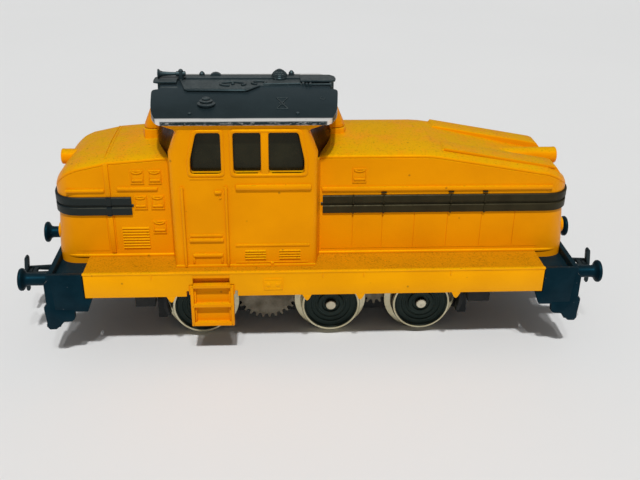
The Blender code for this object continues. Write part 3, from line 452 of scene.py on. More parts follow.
def lens_material(name):
    s = Shader(name)
    fine = s.noise(1.8, 4.0)
    colour = s.mix(s.band(fine, 0.3, 0.7), (0.60, 0.59, 0.54), (0.78, 0.77, 0.72))
    s.set(Base_Color=colour, Roughness=s.band(fine, 0.3, 0.7, 0.08, 0.2), IOR=1.49, Coat_Weight=0.6,
        Coat_Roughness=0.05)
    return s.bump(s.spots(2.2), 0.2, 0.1).material


def rubber_material(name):
    s = Shader(name)
    fine = s.noise(2.2, 6.0, 0.7)
    colour = s.mix(s.band(fine, 0.3, 0.7), (0.030, 0.020, 0.014), (0.060, 0.042, 0.030))
    s.set(Base_Color=colour, Roughness=s.band(fine, 0.3, 0.7, 0.7, 0.9), IOR=1.5)
    return s.bump(fine, 0.3, 0.1).material


def floor_material(name):
    s = Shader(name)
    cloud = s.band(s.noise(0.006, 3.0), 0.3, 0.7)
    colour = s.mix(cloud, (0.775, 0.780, 0.778), (0.790, 0.794, 0.792))
    s.set(Base_Color=colour, Roughness=s.band(s.noise(0.3, 3.0), 0.3, 0.7, 0.62, 0.72), IOR=1.35)
    return s.material


# ---- hoods -----------------------------------------------------------------
def spread(x, half, amount):
    """Moves a point of the nose outward: the noses grow squarer towards the deck."""
    t = min(max((abs(x) - 42.0) / 4.8, 0.0), 1.0)
    return x + math.copysign(0.5 * t * amount, x), half + 1.05 * t * t * amount


def hood_ring(x, half, shoulder, quarter, ridge, bottom):
    """Cross-section of a hood: flat sides, a fine joint line at the shoulder, a crowned top."""
    side = [(half, 26.2), (half, shoulder - 0.42), (half - 0.13, shoulder - 0.36),
        (half - 0.13, shoulder - 0.26), (half - 0.03, shoulder - 0.2),
        (half - 0.06, shoulder + 0.0), (half - 0.2, shoulder + 0.17)]
    top = curve_through([(half - 0.45, shoulder + 0.32), (half - 1.8, shoulder + 0.7),
        (0.44 * half, quarter), (0.0, ridge)], 4)
    foot_x, foot_half = spread(x, half, 1.0)
    right = [(foot_x, foot_half, bottom), (foot_x, foot_half, 19.4)]
    right += [(x, y, z) for y, z in side + top]
    left = [(px, -y, z) for px, y, z in reversed(right[:-1])]
    return right + left


def hood_skin(stations, bottom):
    straight = [s for s in stations if abs(s[0]) < NOSE_START]
    nose = [s for s in stations if abs(s[0]) >= NOSE_START]
    full = straight + curve_through(nose, 6)
    return loft([hood_ring(*station, bottom) for station in full])


def nose_path(stations, start, offset=0.0, amount=0.0):
    """Plan outline of a hood from start on the near side, round the nose, to the far side."""
    sign = 1.0 if stations[-1][0] > 0 else -1.0
    nose = [spread(s[0], s[1], amount) for s in stations if abs(s[0]) >= NOSE_START]
    nose = curve_through(nose, 4)
    tip = nose[-1]
    half = [(start, HOOD_HALF_Y)] + nose + [(tip[0] + sign * 0.04, tip[1] * 0.5)]
    moved = []
    for i, p in enumerate(half):
        before = Vector(half[max(i - 1, 0)])
        after = Vector(half[min(i + 1, len(half) - 1)])
        direction = (after - before).normalized()
        normal = Vector((-direction.y, direction.x)) * sign
        moved.append((p[0] + normal.x * offset, p[1] + normal.y * offset))
    moved.append((moved[-1][0], 0.0))
    return [(x, -y) for x, y in moved] + [(x, y) for x, y in reversed(moved[:-1])]


def nose_band(stations, start, z0, z1, out, sunk=0.15, edge=0.12, amount=0.0):
    """Raised band of rounded section that follows the hood's outline."""
    inner = nose_path(stations, start, -sunk, amount)
    middle = nose_path(stations, start, out - edge, amount)
    outer = nose_path(stations, start, out, amount)
    section = [(inner, z0), (middle, z0), (outer, z0 + edge), (outer, z1 - edge), (middle, z1),
        (inner, z1)]
    rings = []
    for i in range(len(inner)):
        rings.append([(path[i][0], path[i][1], z) for path, z in section])
    return loft(rings)


def cover(x0, x1, z0, z1, side, y=HOOD_HALF_Y):
    """Small inspection cover: thin plate, hollow eyebrow, rounded lower lip and frame edges."""
    def part(a, b, out, low, high, radius=0.07):
        return bar(a, b, *side_y(side, y - 0.1, y + out), low, high, radius)
    brow = []
    for i in range(5):
        t = i / 4
        x = x0 + 0.25 + (x1 - x0 - 0.5) * t
        brow.append((x, side * (y + 0.16), z1 - 0.32 - 0.22 * math.sin(math.pi * t)))
    return [part(x0, x1, 0.12, z0 + 0.1, z1 - 0.05), part(x0, x1, 0.26, z1 - 0.24, z1 + 0.02),
        part(x0 + 0.18, x1 - 0.18, 0.36, z0 + 0.42, z0 + 0.78, 0.12), part(x0 - 0.08, x1 + 0.08,
        0.22, z0 - 0.1, z0 + 0.12), part(x0 - 0.02, x0 + 0.18, 0.24, z0, z1), part(x1 - 0.18,
        x1 + 0.02, 0.24, z0, z1), rod(brow, 0.16, 8)]


def slats(x0, x1, z0, z1, count, side, y, out=0.3):
    """Louvre: slats whose upper face slopes and whose lower face is undercut."""
    pitch = (z1 - z0) / count
    pieces = []
    for i in range(count):
        z = z0 + i * pitch
        outline = [(0.0, z + 0.05), (out, z + 0.12), (out, z + 0.28 * pitch),
            (0.0, z + 0.72 * pitch)]
        outline = [(side * (y - 0.05 + a), b) for a, b in outline]
        pieces.append(rounded(prism("x", outline, x0, x1), 0.05))
    return pieces


def hood_details():
    """Ribs, covers, louvres and clips that stand out of both sides of the hoods."""
    pieces = []
    covers = [(-32.67, -30.45, 32.5, 34.95), (-29.54, -27.35, 32.5, 34.95), (-32.35, -30.2, 27.6,
        30.1), (-29.4, -27.15, 27.6, 30.1), (-29.4, -27.1, 22.8, 25.2), (6.5, 8.9, 32.4, 35.0)]
    ribs = [(-44.3, -37.45, 30.85, 31.4, 0.36), (-35.3, -28.1, 31.15, 31.75, 0.36),
        (1.0, 43.1, 30.75, 31.5, 0.42)]
    for side in (-1, 1):
        for x0, x1, z0, z1 in covers:
            pieces += cover(x0, x1, z0, z1, side)
        for x0, x1, z0, z1, out in ribs:
            pieces.append(bar(x0, x1, *side_y(side, HOOD_HALF_Y - 0.2, HOOD_HALF_Y + out), z0, z1,
                0.2))
        pieces += slats(-35.0, -30.2, 19.7, 24.15, 8, side, HOOD_HALF_Y)
        y0, y1 = side_y(side, HOOD_HALF_Y - 0.2, HOOD_HALF_Y + 0.28)
        pieces.append(bar(-37.3, -36.4, y0, y1, 18.9, 26.4, 0.16))
        pieces.append(bar(-37.3, -36.4, y0, y1, 29.95, 36.15, 0.16))
    return joined(pieces)


def hood_seams(stations):
    """Narrow grooves between the moulded panels, cut into both hood sides."""
    cutters = []
    for side in (-1, 1):
        y0, y1 = side_y(side, HOOD_HALF_Y - 0.11, HOOD_HALF_Y + 1.0)
        if stations is LONG_HOOD:
            for x in (6.7, 12.15, 18.05, 24.2, 30.5, 36.7):
                cutters.append(box(x - 0.08, x + 0.08, y0, y1, 19.2, 26.3))
            cutters.append(box(1.0, 41.6, y0, y1, 19.02, 19.14))
        else:
            cutters.append(box(-43.6, -37.55, y0, y1, 19.1, 19.24))
            cutters.append(box(-37.62, -37.48, y0, y1, 19.3, 26.3))
            cutters.append(box(-36.2, -36.06, y0, y1, 19.3, 26.3))
    return joined(cutters)


def long_hood_ribs():
    """Two broad raised tracks that run down the sloping part of the long hood."""
    pieces = []
    for side in (-1, 1):
        y0, y1 = side_y(side, 4.2, 8.1)
        profile = [(22.2, 36.2), (22.3, 37.5), (23.2, 38.05), (43.2, 34.55), (43.9, 34.3),
            (44.9, 33.0), (45.0, 31.4)]
        pieces.append(rounded(prism("y", profile, y0, y1), 0.3, 3, 25.0))
        lip0, lip1 = side_y(side, 7.7, 8.25)
        lip = [(22.9, 37.6), (23.1, 38.05), (43.1, 34.55), (43.9, 34.25), (43.7, 33.9),
            (42.6, 34.1)]
        pieces.append(rounded(prism("y", lip, lip0, lip1), 0.12))
    return joined(pieces)


def lamp_housings():
    """Top and lower lamp barrels with a rolled front rim."""
    pieces = []
    rim = [(0.0, 0.02), (0.25, 0.04), (0.42, -0.04), (0.45, -0.2), (0.3, -0.35), (0.1, -0.42)]

    def barrel(x_back, x_front, y, z, radius):
        sign = 1.0 if x_front > 0 else -1.0
        profile = [(x_back, radius), (x_front - sign * 0.45, radius)]
        profile += [(x_front - sign * (0.45 - a), radius + r) for a, r in rim]
        return turned("x", (0, y, z), profile, 32)
    pieces.append(barrel(32.6, 46.2, 0.0, 33.55, 1.52))
    pieces.append(barrel(-43.0, -46.6, 0.0, 33.9, 1.4))
    for side in (-1, 1):
        pieces.append(barrel(43.6, 47.15, side * 6.4, 21.9, 1.45))
        pieces.append(barrel(-43.6, -47.05, side * 6.4, 21.9, 1.45))
    return joined(pieces)


def lamp_lenses():
    pieces = {}
    for end, sign, top, low in (("long", 1.0, 46.1, 47.05), ("short", -1.0, 46.5, 46.95)):
        height = 33.55 if end == "long" else 33.9
        places = {"top_" + end: (0.0, height, top), "low_" + end + "_near": (-6.4, 21.9, low),
            "low_" + end + "_far": (6.4, 21.9, low)}
        for name, (y, z, x) in places.items():
            profile = [(sign * (x - 0.9), 1.02), (sign * (x - 0.25), 1.02), (sign * (x - 0.1), 0.8),
                (sign * x, 0.45), (sign * (x + 0.03), 0.1)]
            pieces[name] = turned("x", (0, y, z), profile, 28)
    return pieces


def build_stripes(stations, start):
    """Two dark bands with the dark channel between them."""
    pieces = [nose_band(stations, start, z0, z1, STRIPE_OUT) for z0, z1 in STRIPE_BANDS]
    pieces.append(nose_band(stations, start - math.copysign(0.35, start + 5.0), 27.9, 28.5, 0.12))
    seams = (6.7, 12.25, 24.5, 30.8) if stations is LONG_HOOD else (-36.85,)
    width = 0.16 if stations is LONG_HOOD else 0.45
    for x in seams:
        for side in (-1, 1):
            y0, y1 = side_y(side, HOOD_HALF_Y, HOOD_HALF_Y + STRIPE_OUT + 0.12)
            for z0, z1 in STRIPE_BANDS:
                pieces.append(bar(x - width, x + width, y0, y1, z0 - 0.1, z1 + 0.1, 0.08))
            if stations is LONG_HOOD and x > 10.0:
                pieces.append(bar(x - 0.5, x + 0.5, *side_y(side, HOOD_HALF_Y - 0.05,
                    HOOD_HALF_Y + 0.3), 30.22, 30.5, 0.12))
    return joined(pieces)


def build_hoods():
    long_hood = cut(hood_skin(LONG_HOOD, 16.6), hood_seams(LONG_HOOD))
    publish(long_hood, "hood_long_skin", "orange", replaces=("body_shell",), smooth=11.0)
    short_hood = cut(hood_skin(SHORT_HOOD, 16.6), hood_seams(SHORT_HOOD))
    publish(short_hood, "hood_short_skin", "orange", smooth=14.0)
    publish(hood_details(), "hood_side_details", "orange")
    publish(joined([long_hood_ribs(), lamp_housings()]), "hood_ribs_and_lamps", "orange")
    feet = []
    for stations, start in ((LONG_HOOD, 0.5), (SHORT_HOOD, -25.5)):
        feet.append(nose_band(stations, start, 17.95, 18.62, 0.24, 0.4, 0.2, 0.55))
        start = math.copysign(40.6, stations[-1][0])
        feet.append(nose_band(stations, start, 16.35, 17.98, 0.0, 1.2, 0.2, -0.9))
    seam = []
    for sign in (-1, 1):
        outline = curve_through([(-9.9, 36.15), (-8.2, 36.95), (-4.4, 37.3), (0.0, 37.4),
            (4.4, 37.3), (8.2, 36.95), (9.9, 36.15)], 3)
        seam.append(rod([(-36.85 + 0.28 * sign, y, z - 0.1) for y, z in outline], 0.13, 6))
    publish(joined(feet + seam), "hood_feet_and_seam", "orange")
    for name, lens in lamp_lenses().items():
        publish(lens, "lens_" + name + "_glass", "lens", replaces=("lens_" + name,))
    publish(build_stripes(LONG_HOOD, 1.2), "stripe_long_bands", "stripe",
        replaces=("stripe_long_hood",))
    publish(build_stripes(SHORT_HOOD, -32.9), "stripe_short_bands", "stripe",
        replaces=("stripe_short_hood",))


# ---- cab -------------------------------------------------------------------
def cab_ring(halves, z, inset=0.0):
    """Plan of the cab at one height, with rounded side corners."""
    side, ten, five, centre = (h - inset for h in halves)
    y = CAB_HALF_Y - inset
    quarter = [(side - 1.3, y), (side - 0.75, y - 0.06), (side - 0.3, y - 0.28),
        (side - 0.06, y - 0.65), (side, y - 1.05)]
    quarter += curve_through([(side + 0.08, y - 1.6), (ten, 10.0 - 0.3 * inset), (five, 5.0),
        (centre, 0.0)], 3)
    front = quarter + [(h, -w) for h, w in reversed(quarter[:-1])]
    back = [(-h, -w) for h, w in front]
    return [(CAB_X + h, w, z) for h, w in front + back]


def window_outline(x0, x1, x0_top, x1_top, grow=0.0, radius=0.55):
    """Side window as an x-z polygon with rounded corners and a knee in its slanted edge."""
    z0, z1 = WINDOW_Z[0] - grow, WINDOW_Z[1] + grow
    corners = [(x0 - grow, z0), (x1 + grow, z0), (x1 + grow, WINDOW_KNEE_Z), (x1_top + grow, z1),
        (x0_top - grow, z1), (x0 - grow, WINDOW_KNEE_Z)]
    outline = []
    for i, corner in enumerate(corners):
        point = Vector(corner)
        before = (Vector(corners[i - 1]) - point).normalized()
        after = (Vector(corners[(i + 1) % 6]) - point).normalized()
        start = point + before * radius
        end = point + after * radius
        for k in range(5):
            t = k / 4
            outline.append(tuple(start * (1 - t) ** 2 + point * 2 * t * (1 - t) + end * t * t))
    return outline


def frame_ring(inner, outer, side, y, out):
    """Raised window frame between two outlines, with a rounded crown."""
    rings = []
    for a, b in zip(inner, outer):
        a, b = Vector(a), Vector(b)
        section = [(a, -0.45), (a, out * 0.55), (a.lerp(b, 0.25), out), (a.lerp(b, 0.7), out),
            (b, out * 0.45), (b, -0.3)]
        rings.append([(p.x, side * (y + o), p.y) for p, o in section])
    return loft(rings, True)


def shared_outline(grow, radius=0.7):
    """Outline round the second and third window together."""
    return window_outline(SIDE_WINDOWS[1][0], SIDE_WINDOWS[2][1], SIDE_WINDOWS[1][2],
        SIDE_WINDOWS[2][3], grow, radius)


def end_window(side):
    outline = [(13.0, 37.5), (9.6, 37.3), (6.0, 37.6), (2.1, 37.8), (2.1, 43.9), (12.6, 43.9),
        (13.0, 43.5)]
    return prism("x", [(side * y, z) for y, z in outline], CAB_X - 22.0, CAB_X + 22.0)


def build_cab():
    shell = loft([cab_ring(halves, z) for z, halves in CAB_LEVELS])
    room = loft([cab_ring(halves, z, 1.2) for z, halves in [(16.0, CAB_LEVELS[0][1]), CAB_LEVELS[1],
        CAB_LEVELS[2], (46.0, CAB_LEVELS[2][1])]])
    shell = cut(shell, room)
    for window in SIDE_WINDOWS:
        shell = cut(shell, prism("y", window_outline(*window), -20.0, 20.0))
    shell = cut(cut(shell, end_window(-1)), end_window(1))
    publish(shell, "cab_shell", "orange")

    frames = []
    for side in (-1, 1):
        door = SIDE_WINDOWS[0]
        frames.append(frame_ring(window_outline(*door), window_outline(*door, grow=0.55,
            radius=0.8), side, CAB_HALF_Y, 0.22))
        frames.append(frame_ring(shared_outline(0.0, 0.55), shared_outline(0.6, 0.85), side,
            CAB_HALF_Y, 0.24))
        frames.append(bar(-9.72, -8.38, *side_y(side, CAB_HALF_Y - 0.9, CAB_HALF_Y + 0.2),
            WINDOW_Z[0] - 0.2, WINDOW_Z[1] + 0.2, 0.22))
    publish(joined(frames), "cab_window_frames", "orange")

    noses = []
    for sign in (-1, 1):
        rings = []
        for z, reach in ((39.8, 18.35), (40.6, 18.1), (44.2, 16.6), (CAB_TOP_Z, 16.3)):
            plan = [(12.0, 1.9), (reach - 1.6, 1.9), (reach - 0.9, 1.75), (reach - 0.35, 1.3),
                (reach, 0.6)]
            plan += [(h, -w) for h, w in reversed(plan)]
            rings.append([(CAB_X + sign * h, w, z) for h, w in plan])
        noses.append(rounded(loft(rings), 0.1, 2, 50.0))
        low = [[(CAB_X + sign * h, w * 1.12, z) for h, w in ((12.0, 1.9), (17.2, 1.9), (18.1, 1.6),
            (18.5, 0.8), (18.5, -0.8), (18.1, -1.6), (17.2, -1.9), (12.0, -1.9))] for z in (17.9,
            39.68)]
        noses.append(rounded(loft(low), 0.15, 2, 60.0))
    publish(joined(noses), "cab_end_fairings", "orange")
    # Painted shade: panes just inside the end windows, coloured as the shaded inside of the cab.
    panes = loft([cab_ring(halves, z, 0.22) for z, halves in [(36.6, CAB_LEVELS[1][1]),
        (39.5, CAB_LEVELS[1][1]), CAB_LEVELS[2], CAB_LEVELS[3], CAB_LEVELS[4]]])
    hollow = loft([cab_ring(halves, z, 0.9) for z, halves in [(36.0, CAB_LEVELS[1][1]),
        (39.5, CAB_LEVELS[1][1]), CAB_LEVELS[2], CAB_LEVELS[3], (44.6, CAB_LEVELS[4][1])]])
    panes = cut(panes, hollow)
    sides = [box(CAB_X - 20.0, CAB_X + 20.0, *side_y(side, 13.2, 16.0), 36.0, 45.0) for side in (-1,
        1)]
    panes = cut(panes, joined(sides))
    publish(panes, "cab_end_panes", "painted_shade_pane")
    publish(joined(cab_side_details()), "cab_side_details", "orange")
    glass = build_glazing()
    publish(glass, "cab_window_panes", "glazing", replaces=("cab_glazing",))


def cab_side_details():
    pieces = []
    y = CAB_HALF_Y
    for side in (-1, 1):
        def part(x0, x1, z0, z1, out, radius=0.12):
            return bar(x0, x1, *side_y(side, y - 0.2, y + out), z0, z1, radius)
        for x in (-23.35, -15.82):
            grip = [(x, side * (y + 0.28), 33.6), (x, side * (y + 0.34), 33.2),
                (x, side * (y + 0.34), 19.0), (x, side * (y + 0.28), 18.3)]
            pieces.append(rod(grip, 0.26, 12))
            pieces.append(part(x - 0.42, x - 0.22, 18.3, 33.4, 0.10, 0.05))
        pieces += [part(-22.6, -16.5, 23.15, 23.75, 0.42, 0.2), part(-22.4, -16.7, 24.1, 24.5, 0.2,
            0.1), part(-22.1, -16.75, 20.15, 20.75, 0.42, 0.2), part(-22.15, -21.75, 18.8, 20.5,
            0.2, 0.1), part(-17.15, -16.75, 18.8, 20.5, 0.2, 0.1), part(-14.2, -1.05, 33.0, 33.95,
            0.5, 0.3), part(-14.5, -1.3, 22.05, 22.5, 0.2, 0.12), part(-14.5, -1.6, 18.75, 18.95,
            0.12, 0.06), part(-17.8, -16.6, 32.35, 32.85, 0.42, 0.2), part(-17.05, -16.65, 31.35,
            31.65, 0.2, 0.1), part(-25.2, -0.2, 18.0, 18.5, 0.32, 0.15), part(-21.9, -16.2, 34.95,
            35.25, 0.12, 0.06)]
        pieces.append(turned("y", (-8.0, 0, 18.65), [(side * (y - 0.2), 0.34), (side * (y + 0.2),
            0.34), (side * (y + 0.38), 0.2)], 16))
        pieces += slats(-12.85, -9.1, 19.5, 21.5, 4, side, y, 0.34)
        pieces += slats(-6.75, -2.95, 19.5, 21.5, 4, side, y, 0.34)
    return pieces


def build_glazing():
    """Moulded glazing insert just inside the cab walls."""
    outer = loft([cab_ring(h, z, 1.3) for z, h in [(34.8, CAB_LEVELS[0][1]), CAB_LEVELS[1],
        CAB_LEVELS[2], (44.3, CAB_LEVELS[2][1])]])
    inner = loft([cab_ring(h, z, 1.9) for z, h in [(30.0, CAB_LEVELS[0][1]), CAB_LEVELS[1],
        CAB_LEVELS[2], (46.3, CAB_LEVELS[2][1])]])
    return cut(outer, inner)


# ---- roof ------------------------------------------------------------------
def roof_height(y):
    """Outer roof surface above a point of the plan."""
    knots = [(0.0, 47.9), (2.5, 47.75), (5.0, 47.35), (9.0, 46.45), (13.0, 45.55), (15.2, 45.1)]
    y = abs(y)
    for (a, za), (b, zb) in zip(knots, knots[1:]):
        if y <= b:
            t = (y - a) / (b - a)
            return za + (zb - za) * t
    return knots[-1][1]


def mirrored_plan(quarter):
    """Closed outline from one quarter of it, given from the far point of one axis to the other."""
    front = [(x, -y) for x, y in quarter] + [(x, y) for x, y in reversed(quarter[:-1])]
    return front + [(-x, y) for x, y in reversed(front)][1:-1]


def oval(x, y, half, depth, height, radius, turns, sides=6):
    """Wire along part of an ellipse; turns are the first, the last and the steps per half turn."""
    first, last, steps = turns
    angles = [math.pi * k / steps for k in range(first, last)]
    places = [(x + half * math.cos(a), y + depth * math.sin(a)) for a in angles]
    return rod([(px, py, height(py)) for px, py in places], radius, sides)


def build_roof_skin():
    crown = curve_through([(12.6, 45.66), (9.0, 46.45), (5.0, 47.35), (2.5, 47.75), (0.0, 47.9)], 4)
    eave = [(14.5, 44.62), (14.9, 44.66), (15.1, 44.8), (15.18, 45.0), (15.14, 45.18),
        (14.95, 45.32), (14.6, 45.41), (14.0, 45.45), (13.3, 45.5)]
    half = eave + crown
    section = half + [(-y, z) for y, z in reversed(half[:-1])]
    roof = prism("x", section, CAB_X - 17.0, CAB_X + 17.4)
    quarter = curve_through([(13.0, 15.6), (13.75, 14.9), (14.6, 13.9), (15.15, 12.7),
        (15.75, 10.5), (16.15, 6.5), (16.2, 4.2), (15.3, 3.6), (15.0, 3.4), (15.0, 0.0)], 4)
    plan = [(ROOF_X + x, y) for x, y in mirrored_plan([(0.0, 15.6)] + quarter)]
    roof = boolean(roof, prism("z", plan, 40.0, 55.0), "INTERSECT")
    inside = [(12.8, 44.0), (12.8, 44.75)] + [(y * 0.9, z - 1.2) for y, z in crown]
    inside += [(-y, z) for y, z in reversed(inside[:-1])]
    roof = cut(roof, prism("x", inside, CAB_X - 11.4, CAB_X + 11.4))
    publish(roof, "roof_skin", "roof", replaces=("cab_roof",), smooth=28.0)


def build_roof_fittings():
    """Raised panels, wires, rivets, hatch lines and knobs on the roof."""
    slabs = [([(-24.3, 2.6), (-22.9, -4.5), (-12.4, -4.9), (-9.7, -2.6), (-2.3, -2.0), (-2.3, 4.6),
        (-24.3, 4.6)], 46.4, 47.98, 0.14), ([(-24.6, -1.6), (-28.2, -1.6), (-28.75, -1.2),
        (-28.8, 0.0), (-28.75, 1.4), (-28.2, 2.3), (-24.6, 2.3)], 48.0, 48.35, 0.12),
        ([(-2.6, -1.4), (2.9, -1.4), (3.7, -0.9), (3.85, 0.2), (3.7, 1.6), (2.9, 2.6), (-2.6, 2.6)],
        48.1, 48.5, 0.14)]
    bars = [(-28.0, -24.6, -1.1, 2.0, 46.8, 48.05, 0.1), (-27.4, -24.2, -3.2, 2.0, 46.6, 47.75,
        0.2), (-2.2, 3.0, -0.9, 2.2, 46.8, 48.2, 0.1), (-24.4, -2.4, 1.2, 3.6, 47.0, 48.3, 0.15),
        (-0.95, -0.65, -2.9, -1.2, 47.5, 48.25, 0.08), (2.6, 2.9, -2.8, -1.0, 47.5, 48.2, 0.08),
        (-2.3, -1.9, -2.6, -0.6, 47.4, 48.3, 0.1), (-1.7, -1.3, -2.9, -1.6, 47.4, 48.2, 0.1)]
    wires = [([(-24.0, 0.4, 48.15), (-22.85, -4.4, 47.78), (-22.4, -4.75, 47.72),
        (-12.6, -5.0, 47.72), (-12.1, -4.9, 47.75), (-9.9, -2.85, 47.98)], 0.15, 10),
        ([(-9.2, -2.2, 48.02), (-2.6, -1.9, 48.05)], 0.2, 10),
        ([(-0.9, -2.6, 48.1), (2.9, -2.5, 48.1)], 0.16, 10)]
    posts = [(-14.6, -2.2, [(47.8, 0.32), (48.25, 0.3), (48.4, 0.15)], 14),
        (-20.4, 3.2, [(47.6, 0.55), (48.6, 0.5), (48.95, 0.2)], 16),
        (-4.1, 3.0, [(47.6, 0.6), (48.8, 0.5), (49.15, 0.2)], 16)]
    posts += [(x, -2.75, [(47.6, 0.2), (48.25, 0.2), (48.35, 0.1)], 10) for x in (-1.55, -1.0)]
    posts += [(x, y, [(45.2, 0.34), (roof_height(y) + 0.14, 0.32), (roof_height(y) + 0.28, 0.16)],
        14) for x in (-21.5, -3.4) for y in (-12.0, 12.0)]
    for y in (-10.5, -6.9, 6.9, 10.5):
        z = roof_height(y) + 0.03
        wires.append(([(-6.95, y, z), (-4.95, y, z)], 0.1, 6))
    cross = [(-0.95, 10.5), (-0.35, 9.4), (0.0, 8.7), (-0.35, 8.0), (-0.95, 6.9)]
    for side in (-1, 1):
        for mirror in (1, -1):
            line = [(-5.95 + x * mirror, side * y, roof_height(y) + 0.05) for x, y in cross]
            wires.append((line, 0.1, 6))
    fittings = [rounded(prism("z", plan, low, high), radius) for plan, low, high, radius in slabs]
    fittings += [bar(*row) for row in bars] + [rod(*wire) for wire in wires]
    fittings += [turned("z", (x, y, 0), profile, count) for x, y, profile, count in posts]
    for x, y, half, depth in ((-14.6, -2.3, 2.2, 1.15), (-10.0, -1.5, 1.25, 0.95)):
        fittings.append(oval(x, y, half, depth, lambda _: 48.12, 0.24, (-3, 18, 12), 8))
    for side in (-1, 1):
        fittings.append(oval(-5.95, side * 8.75, 0.45, side * 0.5, lambda y: roof_height(y) + 0.05,
            0.09, (0, 13, 6)))
        fittings.append(oval(1.1, side * 7.0, 0.42, side * 0.5, lambda y: roof_height(y) + 0.02,
            0.08, (0, 10, 6)))
    bump = [(-17.9 - 1.1 * math.cos(math.pi * k / 8),
        48.0 + 0.85 * math.sin(math.pi * k / 8)) for k in range(9)]
    bump = [(-19.1, 48.0)] + bump + [(-16.7, 48.0)]
    fittings.append(rounded(prism("y", bump, 2.4, 3.4), 0.1))
    publish(joined(fittings), "roof_fittings", "roof_trim")


def build_roof_turnings():
    """Horn with its post, ribbed exhaust dome and three-tier vent."""
    horn = turned("x", (0, 1.0, 49.1), [(-28.15, 0.2), (-28.1, 0.84), (-27.9, 0.86), (-27.7, 0.6),
        (-27.2, 0.42), (-26.0, 0.33), (-24.9, 0.3), (-24.8, 0.46), (-23.2, 0.46), (-23.1, 0.2)], 24)
    post = turned("z", (-24.0, 1.0, 0), [(47.4, 0.6), (48.2, 0.5), (48.8, 0.5), (49.3, 0.52),
        (49.75, 0.42), (49.95, 0.2)], 20)
    stand_in(joined([horn, post]), "roof_horn", "roof_trim")
    bell = turned("z", (DOME_X, DOME_Y, 0), [(47.5, 1.45), (48.3, 1.45), (48.42, 1.34),
        (48.65, 1.34), (48.75, 1.24), (48.9, 1.24), (49.05, 1.06), (49.2, 1.04), (49.32, 0.8),
        (49.42, 0.55), (49.6, 0.52), (49.72, 0.25)], 28)
    parts = [bell]
    for i in range(10):
        a = 2 * math.pi * i / 10
        parts.append(rod([(DOME_X + r * math.cos(a), DOME_Y + r * math.sin(a), z) for r,
            z in ((1.38, 48.3), (1.28, 48.8), (1.06, 49.1), (0.7, 49.4))], 0.1, 6))
    publish(joined(parts), "roof_dome_detail", "roof_trim", replaces=("roof_exhaust_dome",))
    vent = turned("z", (-18.9, -9.0, 0), [(45.7, 1.25), (46.35, 1.25), (46.45, 1.52), (46.7, 1.56),
        (46.85, 1.3), (46.86, 0.95), (47.0, 0.95), (47.05, 1.12), (47.2, 1.14), (47.3, 0.9),
        (47.31, 0.6), (47.42, 0.6), (47.45, 0.72), (47.6, 0.7), (47.75, 0.42), (47.85, 0.15)], 32)
    stand_in(vent, "roof_vent", "roof_trim")


# ---- deck ------------------------------------------------------------------
def skirt_outline():
    """Near skirt in x-z, with the ladder cut-out along its lower edge."""
    z = SKIRT_BOTTOM_Z
    left = [(-DECK_HALF_X, DECK_TOP_Z - 0.1), (-DECK_HALF_X, z), (-23.4, z), (-23.4, 14.4),
        (-22.9, 14.4), (-22.9, 15.7), (-22.2, 15.7), (-22.2, 17.6), (-15.7, 17.6), (-15.7, 15.7),
        (-14.85, 15.7), (-14.85, 14.4), (-14.3, 14.4), (-14.3, z)]
    return left + [(DECK_HALF_X, z), (DECK_HALF_X, DECK_TOP_Z - 0.1)]


def side_bars(rows, sides=(-1, 1), sign=1):
    """Rounded bars; a row is x0, x1, inner and outer distance from the middle, z0, z1, rounding."""
    return [bar(*sorted((sign * x0, sign * x1)), *side_y(side, inner, outer), z0, z1, radius)
            for side in sides for x0, x1, inner, outer, z0, z1, radius in rows]


